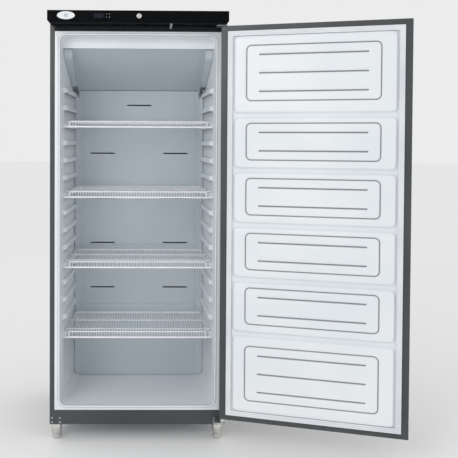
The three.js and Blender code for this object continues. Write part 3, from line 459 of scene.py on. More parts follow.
count = len(liner_ring(0, 0))
outer = rounded_ring(-flange_half, flange_half, flange_low, flange_high, 1 * mm, 0, side_rows,
                     np.linspace(0.03, 0.97, 21), 7)
edge_back = outer.copy()
edge_back[:, 1] = 2 * mm
rings = [edge_back, outer, liner_ring(10.5 * mm, 0)]
for grow, y in ((10.3 * mm, 2 * mm), (7.9 * mm, 2 * mm), (7.7 * mm, 0)):
    rings.append(liner_ring(grow, y))
for t in np.radians(np.linspace(0, 90, 6)):
    rings.append(liner_ring(lip * (1 - math.sin(t)), lip * (1 - math.cos(t))))
depths = [9, 20, 45, 66, 71, 75, 79, 82, 84, 86, 88, 92, 96, 100, 104, 108, 125, 163, 166, 168, 171, 220,
          280, 340, 395, 419, 421, 423, 425, 427, 430]
for y in np.array(depths) * mm:
    rings.append(ledges(liner_ring(0, y), y))
rings += [liner_ring(0, store_back - 3 * mm), liner_ring(-3 * mm, store_back)]
rings += [liner_ring(-3 * mm, store_back + 1 * mm, machine_roof),
          liner_ring(0, store_back + 6 * mm, machine_roof)]
rings += [liner_ring(0, tub_back - 4 * mm, machine_roof), liner_ring(-4 * mm, tub_back, machine_roof)]
liner_faces = grid_faces(len(rings), count, wrap_columns=True)
liner_faces.append(list(range((len(rings) - 1) * count, len(rings) * count)))
formed_plastic = new_finish("formed_white_plastic", srgb(230, 234, 238), 0.34, 0.0, Subsurface_Weight=0.0,
                            Specular_IOR_Level=0.45)
tinted(formed_plastic, ("noise", 2.2, 3.0), srgb(226, 231, 235),
       srgb(234, 238, 241))
roughened(formed_plastic, ("noise", 26.0, 4.0), 0.28, 0.42)
embossed(formed_plastic, ("noise", 650.0, 1.5), 0.00006, 0.25)


def painted_shade_into(finish, shade):
    """Paints shade into a finish: runs its base colour towards shade by the share that a piece stores for
    each point.
    """
    tree = finish.node_tree
    share = tree.nodes.new("ShaderNodeAttribute")
    share.attribute_name = "painted_shade_share"
    mix = tree.nodes.new("ShaderNodeMix")
    mix.data_type = "RGBA"
    base = tree.nodes["Principled BSDF"].inputs["Base Color"]
    tree.links.new(share.outputs["Fac"], mix.inputs[0])
    tree.links.new(base.links[0].from_socket, mix.inputs[6])
    mix.inputs[7].default_value = shade
    tree.links.new(mix.outputs[2], base)


def mark_painted_shade(made, shares):
    """Stores how much painted shade each of a piece's points takes, from 0 to 1."""
    layer = made.data.attributes.new("painted_shade_share", "FLOAT", "POINT")
    layer.data.foreach_set("value", np.clip(shares, 0, 1).ravel().astype(np.float32))


# Painted shade: the liner's white runs towards this grey under each runner ledge, in the groove round the
# mouth and along the inner edge of the lip.
painted_shade_into(formed_plastic, srgb(78, 82, 88))
tub_points = np.array(rings)
tub_x, tub_y = np.abs(tub_points[..., 0]), tub_points[..., 1]
over = tub_points[..., 2] - runner_first
over -= runner_pitch * np.clip(np.round((over - runner_height / 2) / runner_pitch), 0, 14)
on_side = tub_x.max(1)[:, None] - tub_x < runner_proud + 0.5 * mm
along = ease((tub_y - runner_front) / runner_taper) * ease((runner_back - tub_y) / (7 * mm))
# Shares of painted shade: under the lower edge of each runner ledge, 0.3 in the groove round the mouth, and
# up to 1 at the lip's inner edge.
tub_painted_shade = np.exp(-((over - 0.6 * mm) / (1.8 * mm)) ** 2) * along * on_side * 0.8
tub_painted_shade[3:5] = 0.3
tub_painted_shade[10:12] = [[0.5], [1.0]]
liner = add_piece("liner_tub", tub_points, liner_faces, "cabinet", "liner_plastic", ["inner_liner"],
                  outward=(0, -1, 0), material=formed_plastic)
mark_painted_shade(liner, tub_painted_shade)
thicken(liner, 1.6 * mm)

# ---- Air duct and evaporator housing ----
# The duct panel is coated aluminium, pressed with long beads that stiffen it and slotted where cold air
# comes out, and curves forward to the walls at its sides. A sloping cover of the same sheet, with a lip to
# each wall, hangs over it under the evaporator, behind a white fascia.


def edge_distance(x, z, centre, half, radius):
    """
    How far a point lies outside a rounded rectangle, less than 0 within it. With q = |p - c| - h + r, it is
    |max(q, 0)| + min(max(qx, qz), 0) - r.
    """
    qx = np.abs(x - centre[0]) - half[0] + radius
    qz = np.abs(z - centre[1]) - half[1] + radius
    return np.hypot(np.maximum(qx, 0), np.maximum(qz, 0)) + np.minimum(np.maximum(qx, qz), 0) - radius


def pressed(x, z, centre, half, radius, slope):
    """1 inside a rounded rectangle, 0 outside, eased over slope across its edge."""
    return ease(0.5 - edge_distance(x, z, centre, half, radius) / slope)


def lines_near(low, high, step, places, offsets):
    """Grid lines from low to high a step apart, with closer ones at the offsets round each place."""
    close = (np.asarray(places)[:, None] + np.asarray(offsets)[None, :]).ravel()
    even = np.linspace(low, high, int(round((high - low) / step)) + 1)
    near = np.abs(even[:, None] - close[None, :]).min(1) < 0.6 * min(np.diff(np.unique(offsets)))
    lines = np.concatenate([even[~near], close, [low, high]])
    lines = np.unique(np.round(lines[(lines >= low) & (lines <= high)], 5))
    return lines


duct_low, duct_high = box_of("rear_duct_panel")
slot_half, slot_tall = 61 * mm, 3.25 * mm
slot_top = duct_high[2] - 73 * mm
slot_aside, slot_second, slot_pitch = 184 * mm, 243 * mm, 227 * mm
slot_places = [(0.0, slot_top)] + [(s * slot_aside, slot_top - slot_second - slot_pitch * row)
                                   for row in range(4) for s in (-1, 1)]
bead_heights = np.array([1.412, 1.111, 0.807, 0.504])
bead_spans = ((-0.267, -0.006), (0.006, 0.262))
dimple_x, edge_grooves = 0.2775, (-0.285, 0.288)
fine = np.array([-8, -6, -4.5, -3.2, -2, -1, 0, 1, 2, 3.2, 4.5, 6, 8]) * mm
slot_edges_x = [s + e for s, _ in slot_places for e in (-slot_half, slot_half)]
slot_edges_z = sorted({round(z + e, 5) for _, z in slot_places for e in (-slot_tall, slot_tall)})
duct_half = wall_at(duct_low[1]) - 1.5 * mm
duct_x = lines_near(-duct_half, duct_half, 14 * mm,
                    [edge_grooves[0], *bead_spans[0], *bead_spans[1], 0.277, edge_grooves[1]], fine)
wing_x = np.array([302, 307, 312, 317]) * mm
duct_x = np.unique(np.round(np.concatenate([duct_x, -wing_x, wing_x]), 5))
duct_x = np.unique(np.round(np.concatenate([duct_x, slot_edges_x]), 5))
duct_z = lines_near(duct_low[2], duct_high[2], 18 * mm, bead_heights, fine)
duct_z = np.unique(np.round(np.concatenate([duct_z, slot_edges_z]), 5))
gx, gz = np.meshgrid(duct_x, duct_z)
relief = np.zeros_like(gx)
for z in bead_heights:
    for x0, x1 in bead_spans:
        bead_middle, bead_half = ((x0 + x1) / 2, z), ((x1 - x0) / 2, 4.6 * mm)
        relief += 2.4 * mm * pressed(gx, gz, bead_middle, bead_half, 4.6 * mm, 4 * mm)
    relief += 1.5 * mm * pressed(gx, gz, (dimple_x, z), (7 * mm, 7 * mm), 7 * mm, 3 * mm)
for x in edge_grooves:
    relief += 1.6 * mm * ease(1 - np.abs(gx - x) / (3 * mm))
relief -= 5 * mm * ease((np.abs(gx) - duct_high[0]) / (duct_half - duct_high[0]))
corner_in = np.clip(np.abs(gx) - duct_half + mouth_radius, 0, mouth_radius)
corner_rise = mouth_radius - np.sqrt(mouth_radius ** 2 - corner_in ** 2)
lifted = gz + corner_rise * (1 - ease((gz - duct_low[2]) / (80 * mm)))
points = np.stack([gx, duct_low[1] + relief, lifted], -1)
middle_x, middle_z = (duct_x[1:] + duct_x[:-1]) / 2, (duct_z[1:] + duct_z[:-1]) / 2
mx, mz = np.meshgrid(middle_x, middle_z)
solid_face = np.ones(mx.shape, bool)
for x, z in slot_places:
    solid_face &= ~((np.abs(mx - x) < slot_half) & (np.abs(mz - z) < slot_tall))
faces = np.array(grid_faces(*gx.shape))[solid_face.ravel()]
duct_coat = new_finish("coated_aluminium", srgb(192, 201, 208), 0.38, 0.0)
tinted(duct_coat, ("noise", 1.6, 3.0), srgb(186, 196, 203), srgb(198, 206, 212))
roughened(duct_coat, ("noise", 14.0, 4.0), 0.3, 0.46)
embossed(duct_coat, ("noise", 1100.0, 1.0), 0.00005, 0.25)
duct = add_piece("duct_panel_sheet", points, faces.tolist(), "cabinet", "coated_aluminium",
                 ["rear_duct_panel"], outward=(0, -1, 0), material=duct_coat)
thicken(duct, 1.1 * mm)

cover_low, cover_high = box_of("evaporator_cover")
cover_front, cover_back = cover_low[1], duct_low[1]
cover_start = cover_high[2] - 1.2 * mm
cover_fall = 0.165 / (cover_back - cover_front)
cover_drop = 38 * mm
y_lines = np.array([0, 2, 8, 38, 41, 44, 80, 130, 180, 230, 280, 325, 350, 352.7]) * mm + cover_front
across = np.concatenate([
    [[-cover_high[0], -1.0], [-cover_high[0], -0.5], [-cover_high[0], -0.12]],
    [[-cover_high[0] + 1.2 * mm, -0.03], [-cover_high[0] + 4 * mm, 0]],
    [[x, 0] for x in (-0.2, -0.057, -0.055, 0.0, 0.055, 0.057, 0.2)],
    [[cover_high[0] - 4 * mm, 0], [cover_high[0] - 1.2 * mm, -0.03]],
    [[cover_high[0], -0.12], [cover_high[0], -0.5], [cover_high[0], -1.0]],
])
reach_down = cover_drop * np.clip((y_lines - cover_front) / (8 * mm), 0.03, 1)
points = np.zeros((len(y_lines), len(across), 3))
points[..., 0] = across[:, 0]
points[..., 1] = y_lines[:, None]
cover_z = cover_start - cover_fall * (y_lines - cover_front)
points[..., 2] = cover_z[:, None] + across[:, 1] * reach_down[:, None]
points[4, 7:10, 2] += 1.6 * mm
faces = grid_faces(*points.shape[:2])
cover = add_piece("evaporator_cover_sheet", points, faces, "cabinet", "coated_aluminium",
                  ["evaporator_cover"], outward=(0, 0, -1), material=duct_coat)
thicken(cover, 1.1 * mm)
y_lip = np.linspace(cover_front + 8 * mm, cover_back - 5 * mm, 15)
lip_top = cover_start - cover_fall * (y_lip - cover_front)
lip_z = lip_top - np.clip(lip_top - 1.604, 4 * mm, cover_drop - 1 * mm)
for side, name in ((-1, "left"), (1, "right")):
    x_lip = np.stack([np.full(15, cover_high[0] - 0.6 * mm), (cover_high[0] + wall_at(y_lip)) / 2,
                      wall_at(y_lip) - 1.2 * mm], 1)
    grid = np.stack([side * x_lip, np.repeat(y_lip[:, None], 3, 1), np.repeat(lip_z[:, None], 3, 1)], -1)
    front = grid[:1].copy()
    front[..., 2] = lip_top[0] + 3 * mm
    made = add_piece(f"cover_lip_{name}", np.concatenate([front, grid]), grid_faces(16, 3), "cabinet",
                     "coated_aluminium", outward=(0, 0, -1), material=duct_coat)
    thicken(made, 1.1 * mm)


def prism(outline, y0, y1):
    """A closed outline in X and Z, run from y0 to y1 and capped at both ends."""
    n = len(outline)
    points = np.zeros((2, n, 3))
    points[..., 0], points[..., 2] = outline[:, 0], outline[:, 1]
    points[0, :, 1], points[1, :, 1] = y0, y1
    caps = [list(range(n)), list(range(n, 2 * n))]
    return points.reshape(-1, 3), grid_faces(2, n, wrap_columns=True) + caps


fascia_low, fascia_high = box_of("evaporator_fascia")
corner = np.radians(np.linspace(0, 90, 8))
right_top = np.stack([fascia_high[0] - 27 * mm + 27 * mm * np.cos(corner),
                      fascia_high[2] - 27 * mm + 27 * mm * np.sin(corner)], 1)
outline = np.concatenate([[[fascia_high[0], fascia_low[2]]], right_top,
                          right_top[::-1] * [-1, 1], [[fascia_low[0], fascia_low[2]]]])
fascia = add_piece("fascia_moulding", *prism(outline, fascia_low[1], fascia_high[1]), "cabinet",
                   "coated_aluminium", ["evaporator_fascia"], material=formed_plastic)
rounded_edges(fascia, 1.6 * mm, 3)

# ---- Temperature probe ----
# A grey moulded housing on the right wall, beside the duct panel's top, over the controller's probe.


def cad_copy(node):
    """A copy of a CAD node's mesh with its shared corners merged and its flat faces made whole."""
    work = bmesh.new()
    work.from_mesh(frame["nodes"][node].data)
    bmesh.ops.remove_doubles(work, verts=work.verts, dist=1e-5)
    bmesh.ops.dissolve_limit(work, angle_limit=0.02, verts=work.verts, edges=work.edges)
    mesh = bpy.data.meshes.new(node + "_refined")
    work.to_mesh(mesh)
    work.free()
    mesh.polygons.foreach_set("use_smooth", np.ones(len(mesh.polygons), bool))
    return mesh


def refined(node, body, material, width, segments=2, angle=38):
    """Stands a copy of a CAD node in its place, with its edges broken and its own finish."""
    mesh = cad_copy(node)
    mesh.materials.clear()
    mesh.materials.append(material)
    made = bpy.data.objects.new(node + "_refined", mesh)
    bpy.context.scene.collection.objects.link(made)
    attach(made, body)
    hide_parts(node)
    return rounded_edges(made, width, segments, angle)


grey_plastic = new_finish("grey_plastic", srgb(150, 155, 160), 0.5)
roughened(grey_plastic, ("noise", 60.0, 3.0), 0.42, 0.58)
embossed(grey_plastic, ("noise", 1500.0, 1.0), 0.00005, 0.3)
refined("temperature_probe", "cabinet", grey_plastic, 1.2 * mm, 3)

# ---- Wire shelves ----
# Each is welded from steel wire and coated white: 52 thin wires that bend down over the front edge, on a
# loop and three cross rods whose ends lie on the runners, with a thicker bar along the lower front.


def tube(path, radius, across, sides=8, closed=False):
    """
    A round bar along a plane path. Round each point the ring is p + r (cos t a + sin t (a x d)), with a the
    normal of the path's plane and d the path's direction there.
    """
    p = np.asarray(path, float)
    a = np.asarray(across, float)
    if closed:
        d = np.roll(p, -1, 0) - np.roll(p, 1, 0)
    else:
        d = np.gradient(p, axis=0)
    d /= np.linalg.norm(d, axis=1)[:, None]
    t = 2 * math.pi * np.arange(sides) / sides
    b = np.cross(a, d)
    points = p[:, None] + radius * (np.cos(t)[None, :, None] * a + np.sin(t)[None, :, None] * b[:, None])
    faces = grid_faces(len(p), sides, wrap_rows=closed, wrap_columns=True)
    if not closed:
        faces += [list(range(sides)), list(range((len(p) - 1) * sides, len(p) * sides))]
    return points.reshape(-1, 3), faces


def joined(parts):
    """Several (points, faces) pairs as one."""
    points, faces, start = [], [], 0
    for some, flat in parts:
        points.append(np.asarray(some).reshape(-1, 3))
        faces += [[i + start for i in f] for f in flat]
        start += len(points[-1])
    return np.concatenate(points), faces


def arc_corner(a, corner, b, radius, steps=6):
    """Points that round the right-angled corner between a and b by the radius."""
    a, corner, b = (np.asarray(v, float) for v in (a, corner, b))
    u, v = (a - corner) / np.linalg.norm(a - corner), (b - corner) / np.linalg.norm(b - corner)
    t = np.linspace(0, math.pi / 2, steps)[:, None]
    return corner + radius * (u * (1 - np.sin(t)) + v * (1 - np.cos(t)))


coated_wire = new_finish("coated_wire", srgb(240, 242, 246), 0.3, 0.0, Coat_Weight=0.3, Coat_Roughness=0.15)
tinted(coated_wire, ("noise", 18.0, 2.0), srgb(234, 236, 241),
       srgb(245, 246, 249))
roughened(coated_wire, ("noise", 90.0, 3.0), 0.24, 0.4)
embossed(coated_wire, ("noise", 700.0, 2.0), 0.00005, 0.4)
rod_radius, wire_radius, bar_radius = 3 * mm, 1.3 * mm, 4 * mm
deck_half, deck_front, wires = 312 * mm, 64 * mm, 52
front_rod, middle_rod = 0.116, 0.263
for number in range(1, 5):
    low, high = box_of(f"wire_shelf_{number}")
    deck_back = high[1]
    wire_z = high[2] - wire_radius
    rod_z = wire_z - wire_radius - rod_radius + 0.2 * mm
    bar_z = wire_z - 28 * mm
    parts = []
    over_edge = arc_corner((0, deck_back, wire_z), (0, deck_front, wire_z), (0, deck_front, bar_z), 7 * mm)
    path = np.vstack([[[0, deck_back - rod_radius, wire_z]], [[0, 0.24, wire_z]], over_edge,
                      [[0, deck_front, bar_z + 2 * mm]]])
    wire_points, wire_faces = tube(path, wire_radius, (1, 0, 0), 6)
    for x in np.linspace(-deck_half + 6 * mm, deck_half - 6 * mm, wires):
        parts.append((wire_points + [x, 0, 0], wire_faces))
    corners = [(deck_half, deck_front + 6 * mm), (deck_half, deck_back - rod_radius),
               (-deck_half, deck_back - rod_radius), (-deck_half, deck_front + 6 * mm)]
    corners = [(x, y, rod_z) for x, y in corners]
    loop = np.vstack([arc_corner(corners[i - 1], corners[i], corners[(i + 1) % 4], 14 * mm)
                      for i in range(4)])
    parts.append(tube(loop, rod_radius, (0, 0, 1), 10, closed=True))
    for y, z, radius, sides in ((front_rod, rod_z, rod_radius, 10), (middle_rod, rod_z, rod_radius, 10),
                                (deck_back - 16 * mm, rod_z, rod_radius, 10),
                                (deck_front, bar_z, bar_radius, 14)):
        reach_x = wall_at(y) - 5 * mm
        path = np.array([[x, y, z] for x in (-reach_x, -reach_x + 1 * mm, 0, reach_x - 1 * mm, reach_x)])
        parts.append(tube(path, radius, (0, 0, 1), sides))
    for side in (-1, 1):
        x = side * (deck_half - 1 * mm)
        upright = arc_corner((x, 0.1, rod_z), (x, deck_front, rod_z), (x, deck_front, bar_z), 9 * mm)
        path = np.vstack([[[x, 0.1, rod_z]], upright, [[x, deck_front, bar_z + 1 * mm]]])
        parts.append(tube(path, 2.4 * mm, (1, 0, 0), 8))
    add_piece(f"shelf_wirework_{number}", *joined(parts), f"shelf_{number}", "coated_wire",
              [f"wire_shelf_{number}"], material=coated_wire)

# ---- Crown ----
# The black moulded crown hides the wiring. It holds the controller with its window and keys, a plain oval
# badge with a snowflake, and a chromed barrel lock. A grey switch hangs under it, above the door.

crown_black = new_finish("crown_plastic", srgb(4, 6, 10), 0.5, 0.0, Specular_IOR_Level=0.06)
tinted(crown_black, ("noise", 4.0, 3.0), srgb(3, 5, 9), srgb(6, 8, 12))
roughened(crown_black, ("noise", 30.0, 4.0), 0.44, 0.58)
embossed(crown_black, ("noise", 1300.0, 2.0), 0.00008, 0.5)
refined("crown_panel", "cabinet", crown_black, 1.6 * mm, 3)

matte_black = new_finish("black_plastic", srgb(26, 28, 30), 0.6)
tinted(matte_black, ("noise", 9.0, 3.0), srgb(23, 25, 27), srgb(32, 34, 36))
roughened(matte_black, ("noise", 45.0, 3.0), 0.5, 0.68)
embossed(matte_black, ("noise", 1600.0, 1.0), 0.00006, 0.4)
refined("controller_body", "cabinet", crown_black, 0.5 * mm)

window = new_finish("display_window", srgb(7, 8, 26), 0.12, 0.0, Specular_IOR_Level=0.2)
tinted(window, ("noise", 12.0, 1.0), srgb(5, 6, 22), srgb(9, 10, 30))
roughened(window, ("noise", 55.0, 4.0), 0.06, 0.14)
refined("controller_display", "cabinet", window, 0.4 * mm)

segment_grey = new_finish("unlit_segments", srgb(30, 33, 54), 0.3)
roughened(segment_grey, ("noise", 80.0), 0.25, 0.4)
display_low, display_high = box_of("controller_display")
segments = []
digit_w, digit_h, stroke = 7.0 * mm, 13 * mm, 1.3 * mm
display_mid = (display_low + display_high) / 2
for digit in range(3):
    x0 = display_mid[0] + (digit - 1) * 11.5 * mm
    z0 = display_mid[2] - 1.0 * mm
    bars = [(0, digit_h / 2, digit_w, stroke), (0, 0, digit_w, stroke), (0, -digit_h / 2, digit_w, stroke)]
    bars += [(s * digit_w / 2, h * digit_h / 4, stroke, digit_h / 2) for s in (-1, 1) for h in (-1, 1)]
    for dx, dz, w, h in bars:
        w, h = w - 1.5 * mm * (w > h), h - 1.7 * mm * (h > w)
        box = np.array([[-1, -1], [1, -1], [1, 1], [-1, 1]]) * [w / 2, h / 2] + [x0 + dx, z0 + dz]
        segments.append(prism(box, display_low[1] - 0.03 * mm, display_low[1] + 0.1 * mm))
add_piece("display_segments", *joined(segments), "cabinet", "display_window", material=segment_grey)

icon_white = new_finish("key_marks", srgb(196, 200, 204), 0.5)
roughened(icon_white, ("noise", 120.0), 0.42, 0.6)


def round_outline(radius_x, radius_z, count=40, start=0.0, stop=360.0):
    """Points round an ellipse, without the last where the turn is whole."""
    t = np.radians(np.linspace(start, stop, count, endpoint=stop - start < 359.9))
    return np.stack([radius_x * np.cos(t), radius_z * np.sin(t)], 1)


def band(outer, inner, y0, y1):
    """The ring between two outlines of as many points, from y0 to y1."""
    n = len(outer)
    rings = [(outer, y0), (outer, y1), (inner, y1), (inner, y0)]
    points = np.zeros((4, n, 3))
    for i, (outline, y) in enumerate(rings):
        points[i, :, 0], points[i, :, 2], points[i, :, 1] = outline[:, 0], outline[:, 1], y
    return points.reshape(-1, 3), grid_faces(4, n, wrap_rows=True, wrap_columns=True)


for key in ("key_up", "key_set", "key_down", "key_power"):
    refined(key, key, crown_black, 0.9 * mm, 3)
    low, high = box_of(key)
    middle = (low + high) / 2
    y0, y1 = low[1] - 0.05 * mm, low[1] + 0.1 * mm
    if key in ("key_up", "key_down"):
        tip = 1 if key == "key_up" else -1
        marks = [prism(np.array([[-2.1, -1.4 * tip], [2.1, -1.4 * tip], [0, 1.7 * tip]]) * mm, y0, y1)]
    elif key == "key_set":
        marks = [band(round_outline(2.0 * mm, 2.0 * mm), round_outline(1.3 * mm, 1.3 * mm), y0, y1)]
    else:
        marks = [band(round_outline(2.0 * mm, 2.0 * mm), round_outline(1.45 * mm, 1.45 * mm), y0, y1),
                 prism(np.array([[-0.3, 0.4], [0.3, 0.4], [0.3, 2.7], [-0.3, 2.7]]) * mm,
                       y0 - 0.02 * mm, y1)]
    points, faces = joined(marks)
    add_piece(key + "_mark", points + [middle[0], 0, middle[2]], faces, key, "black_plastic",
              material=icon_white)

badge_enamel = new_finish("badge_enamel", srgb(228, 231, 234), 0.2, 0.0, Coat_Weight=0.8,
                          Coat_Roughness=0.05)
roughened(badge_enamel, ("noise", 50.0, 3.0), 0.14, 0.28)
badge_low, badge_high = box_of("crown_badge")
badge_mid = (badge_low + badge_high) / 2
badge_half = (badge_high - badge_low) / 2
rings = []
for shrink, y in ((0, 0), (0, -0.9), (0.3, -1.25), (1.2, -1.4), (2.0, -1.05), (2.6, -1.0), (12, -1.25),
                  (16.5, -1.3)):
    ring = round_outline(badge_half[0] - shrink * mm, badge_half[2] - shrink * mm, 72)
    rings.append(np.stack([badge_mid[0] + ring[:, 0], np.full(72, badge_high[1] + y * mm),
                           badge_mid[2] + ring[:, 1]], 1))
faces = grid_faces(len(rings), 72, wrap_columns=True)
faces += [list(range(72)), list(range((len(rings) - 1) * 72, len(rings) * 72))]
add_piece("badge_plaque", np.array(rings), faces, "cabinet", "badge_white", ["crown_badge"],
          material=badge_enamel)
snow_blue = new_finish("badge_snowflake", srgb(96, 128, 158), 0.35)
roughened(snow_blue, ("noise", 90.0), 0.28, 0.42)
arms = []
for arm in range(6):
    turn = math.radians(30 + 60 * arm)
    c, s = math.cos(turn), math.sin(turn)
    for start, stop, lean in ((0.0, 11.0, 0.0), (6.0, 9.6, 0.9), (6.0, 9.6, -0.9)):
        bar = np.array([[0, -0.45], [1, -0.45], [1, 0.45], [0, 0.45]]) * [stop - start, 1.0]
        cl, sl = math.cos(lean), math.sin(lean)
        bar = np.stack([bar[:, 0] * cl - bar[:, 1] * sl + start, bar[:, 0] * sl + bar[:, 1] * cl], 1) * mm
        bar = np.stack([bar[:, 0] * c - bar[:, 1] * s, bar[:, 0] * s + bar[:, 1] * c], 1)
        arms.append(prism(bar + [badge_mid[0], badge_mid[2]], badge_high[1] - 1.42 * mm,
                          badge_high[1] - 1.0 * mm))
add_piece("badge_snowflake", *joined(arms), "cabinet", "badge_white", material=snow_blue)


def lathe(profile, axis_point, axis="y", sides=48):
    """
    A profile of (radius, place along the axis) turned round an axis through a point. A radius of 0 closes
    an end, as a ring too small to see.
    """
    profile = np.asarray(profile, float)
    t = 2 * math.pi * np.arange(sides) / sides
    r = np.maximum(profile[:, :1], 1e-6)
    u, v = r * np.cos(t), r * np.sin(t)
    w = np.broadcast_to(profile[:, 1:2], u.shape)
    order = {"x": (w, u, v), "y": (u, w, v), "z": (u, v, w)}[axis]
    points = np.stack(order, -1) + np.asarray(axis_point)
    faces = grid_faces(len(profile), sides, wrap_columns=True)
    return points.reshape(-1, 3), faces + [list(range(sides)),
                                           list(range((len(profile) - 1) * sides, len(profile) * sides))]


chrome = new_finish("polished_steel", srgb(208, 208, 204), 0.16, 1.0)
tinted(chrome, ("noise", 20.0), srgb(200, 200, 196), srgb(216, 216, 212))
roughened(chrome, ("noise", 160.0, 4.0, (1, 1, 0.05)), 0.12, 0.24)
lock_low, lock_high = box_of("lock_body")
lock_mid = (lock_low + lock_high) / 2
flange_r = (lock_high[0] - lock_low[0]) / 2
profile = np.array([[6.75, 1.0], [7.1, 0.2], [8.2, 0.0], [flange_r / mm - 0.9, 0.25], [flange_r / mm, 1.1],
                    [flange_r / mm, 2.0], [9, 2.0], [9, 28], [6.75, 28]]) * mm
housing_points, _ = lathe(profile, (lock_mid[0], lock_low[1], lock_mid[2]))
add_piece("lock_housing", housing_points, grid_faces(len(profile), 48, wrap_rows=True, wrap_columns=True),
          "cabinet", "polished_steel", ["lock_body"], material=chrome)
refined("lock_barrel", "lock_barrel", chrome, 0.35 * mm)
switch_low, switch_high = box_of("door_switch")
switch_top, switch_back = switch_high[2], switch_high[1]
tab_front, tail_front, tail_drop = -75 * mm, -11.5 * mm, 11 * mm
tab = np.array([[tab_front, switch_top], [tab_front, switch_top - 5.6 * mm],
                [tail_front, switch_low[2] + 0.2 * mm], [tail_front, switch_top - tail_drop],
                [switch_back, switch_top - tail_drop], [switch_back, switch_top]])
tab_points, tab_faces = prism(tab, switch_low[0], switch_high[0])
switch_tab = add_piece("switch_tab", tab_points[:, [1, 0, 2]], tab_faces, "cabinet", "grey_plastic",
                       ["door_switch"], material=grey_plastic)
rounded_edges(switch_tab, 0.9 * mm)

# ---- Hinges and their screws ----
# Plates bent from thick galvanised steel, with a pressed-in pin each, and pan-head screws. The plate for
# a hinge on the other side waits behind the rail with its screws in.

plated = new_finish("galvanised_plate", srgb(186, 188, 190), 0.34, 1.0)
tinted(plated, ("cells", 160.0), srgb(170, 173, 176), srgb(204, 206, 208), 0.1, 0.9)
roughened(plated, ("noise", 80.0, 5.0), 0.28, 0.48)
embossed(plated, ("noise", 300.0, 3.0), 0.00006, 0.3)
refined("upper_hinge", "cabinet", plated, 0.8 * mm)
refined("lower_hinge", "cabinet", plated, 0.8 * mm)
refined("spare_hinge_plate", "cabinet", plated, 0.5 * mm)


def pan_head(place, radius, height, facing=-1):
    """A screw's domed head, and the bars of a cross at its top that take the painted shade of its recess,
    on a face of constant Y, standing towards facing.
    """
    profile = [[1.0, 0], [1.0, 0.35], [0.93, 0.7], [0.7, 0.92], [0.34, 1.0], [0.22, 0.75], [0.0, 0.7]]
    profile = np.array(profile) * [radius, facing * height]
    head = lathe(profile, place, "y", 20)
    arms = []
    for w, h in ((0.62, 0.12), (0.12, 0.62)):
        box = np.array([[-w, -h], [w, -h], [w, h], [-w, h]]) * radius + [place[0], place[2]]
        arms.append(prism(box, place[1] + facing * height * 0.72, place[1] + facing * height * 1.01))
    return head, arms


# Painted shade: the screws' cross recesses are bars of this dark finish, standing in for the shade inside
# them.
recess_painted_shade = new_finish("painted_shade_of_screw_recesses", srgb(40, 42, 44), 0.6, 0.6)
roughened(recess_painted_shade, ("noise", 200.0), 0.5, 0.7)
heads, marks = [], []
rail_x = (half_width - 11 * mm, half_width - 46 * mm)
rail_z = (casing_low + 10 * mm, casing_low + 29 * mm)
for side, face in ((-1, -0.3 * mm), (1, -3.3 * mm)):
    for x in rail_x:
        for z in rail_z:
            head, arms = pan_head((side * x, face, z), 4.6 * mm, 2.1 * mm)
            heads.append(head)
            marks += arms
add_piece("hinge_screw_heads", *joined(heads), "cabinet", "galvanised_steel", material=plated)
add_piece("hinge_screw_cross_painted_shade", *joined(marks), "cabinet", "galvanised_steel", material=recess_painted_shade)

# ---- Door shell ----
# A box folded from one powder-coated sheet, drawn here shut and then swung to where the door stands. Its
# inner face turns in round a wide opening, and its outer face has a cut-out for the grip.

shell_low, shell_high = box_of("door_skin")[0][2], box_of("door_skin")[1][2]
door_half = half_width - 1 * mm
door_back, door_front = -12.6 * mm, -79 * mm
side_margin, end_margin = 29.2 * mm, 25 * mm
grip_low, grip_high = box_of("door_grip")[0][2], box_of("door_grip")[1][2]
grip_x, grip_z = -door_half + 65 * mm, (grip_low + grip_high) / 2
grip_half = np.array([31, 85]) * mm


def door_ring(inset, y, end_inset=None, radius=2 * mm):
    """The door's outline, drawn in by inset, at depth y of the shut door."""
    end_inset = inset if end_inset is None else end_inset
    half = door_half - inset
    return rounded_ring(-half, half, shell_low + end_inset, shell_high - end_inset, radius, y, arc=4)


def grip_ring(grow, y, radius):
    """The grip's outline, grown by grow, at depth y of the shut door."""
    x, z = grip_half + grow
    return rounded_ring(grip_x - x, grip_x + x, grip_z - z, grip_z + z, radius, y, arc=4)


rings = [door_ring(side_margin, door_back - 9 * mm, end_margin),
         door_ring(side_margin, door_back - 1.4 * mm, end_margin),
         door_ring(side_margin - 0.4 * mm, door_back - 0.4 * mm, end_margin - 0.4 * mm),
         door_ring(side_margin - 1.4 * mm, door_back, end_margin - 1.4 * mm)]
for t in np.radians(np.linspace(0, 90, 5)):
    rings.append(door_ring(2.2 * mm * (1 - math.sin(t)), door_back - 2.2 * mm * (1 - math.cos(t))))
for t in np.radians(np.linspace(0, 90, 6)):
    rings.append(door_ring(3.2 * mm * (1 - math.cos(t)), door_front + 3.2 * mm * (1 - math.sin(t))))
rings += [grip_ring(2.3 * mm, door_front, 12 * mm), grip_ring(2.3 * mm, door_front + 5 * mm, 12 * mm)]
count = len(rings[0])
door_outward = hung([0, -1, 0]) - hung([0, 0, 0])
skin = add_piece("door_shell", hung(np.array(rings)), grid_faces(len(rings), count, wrap_columns=True),
                 "door", "charcoal_paint", ["door_skin"], outward=door_outward, material=powder_coat)
thicken(skin, sheet)

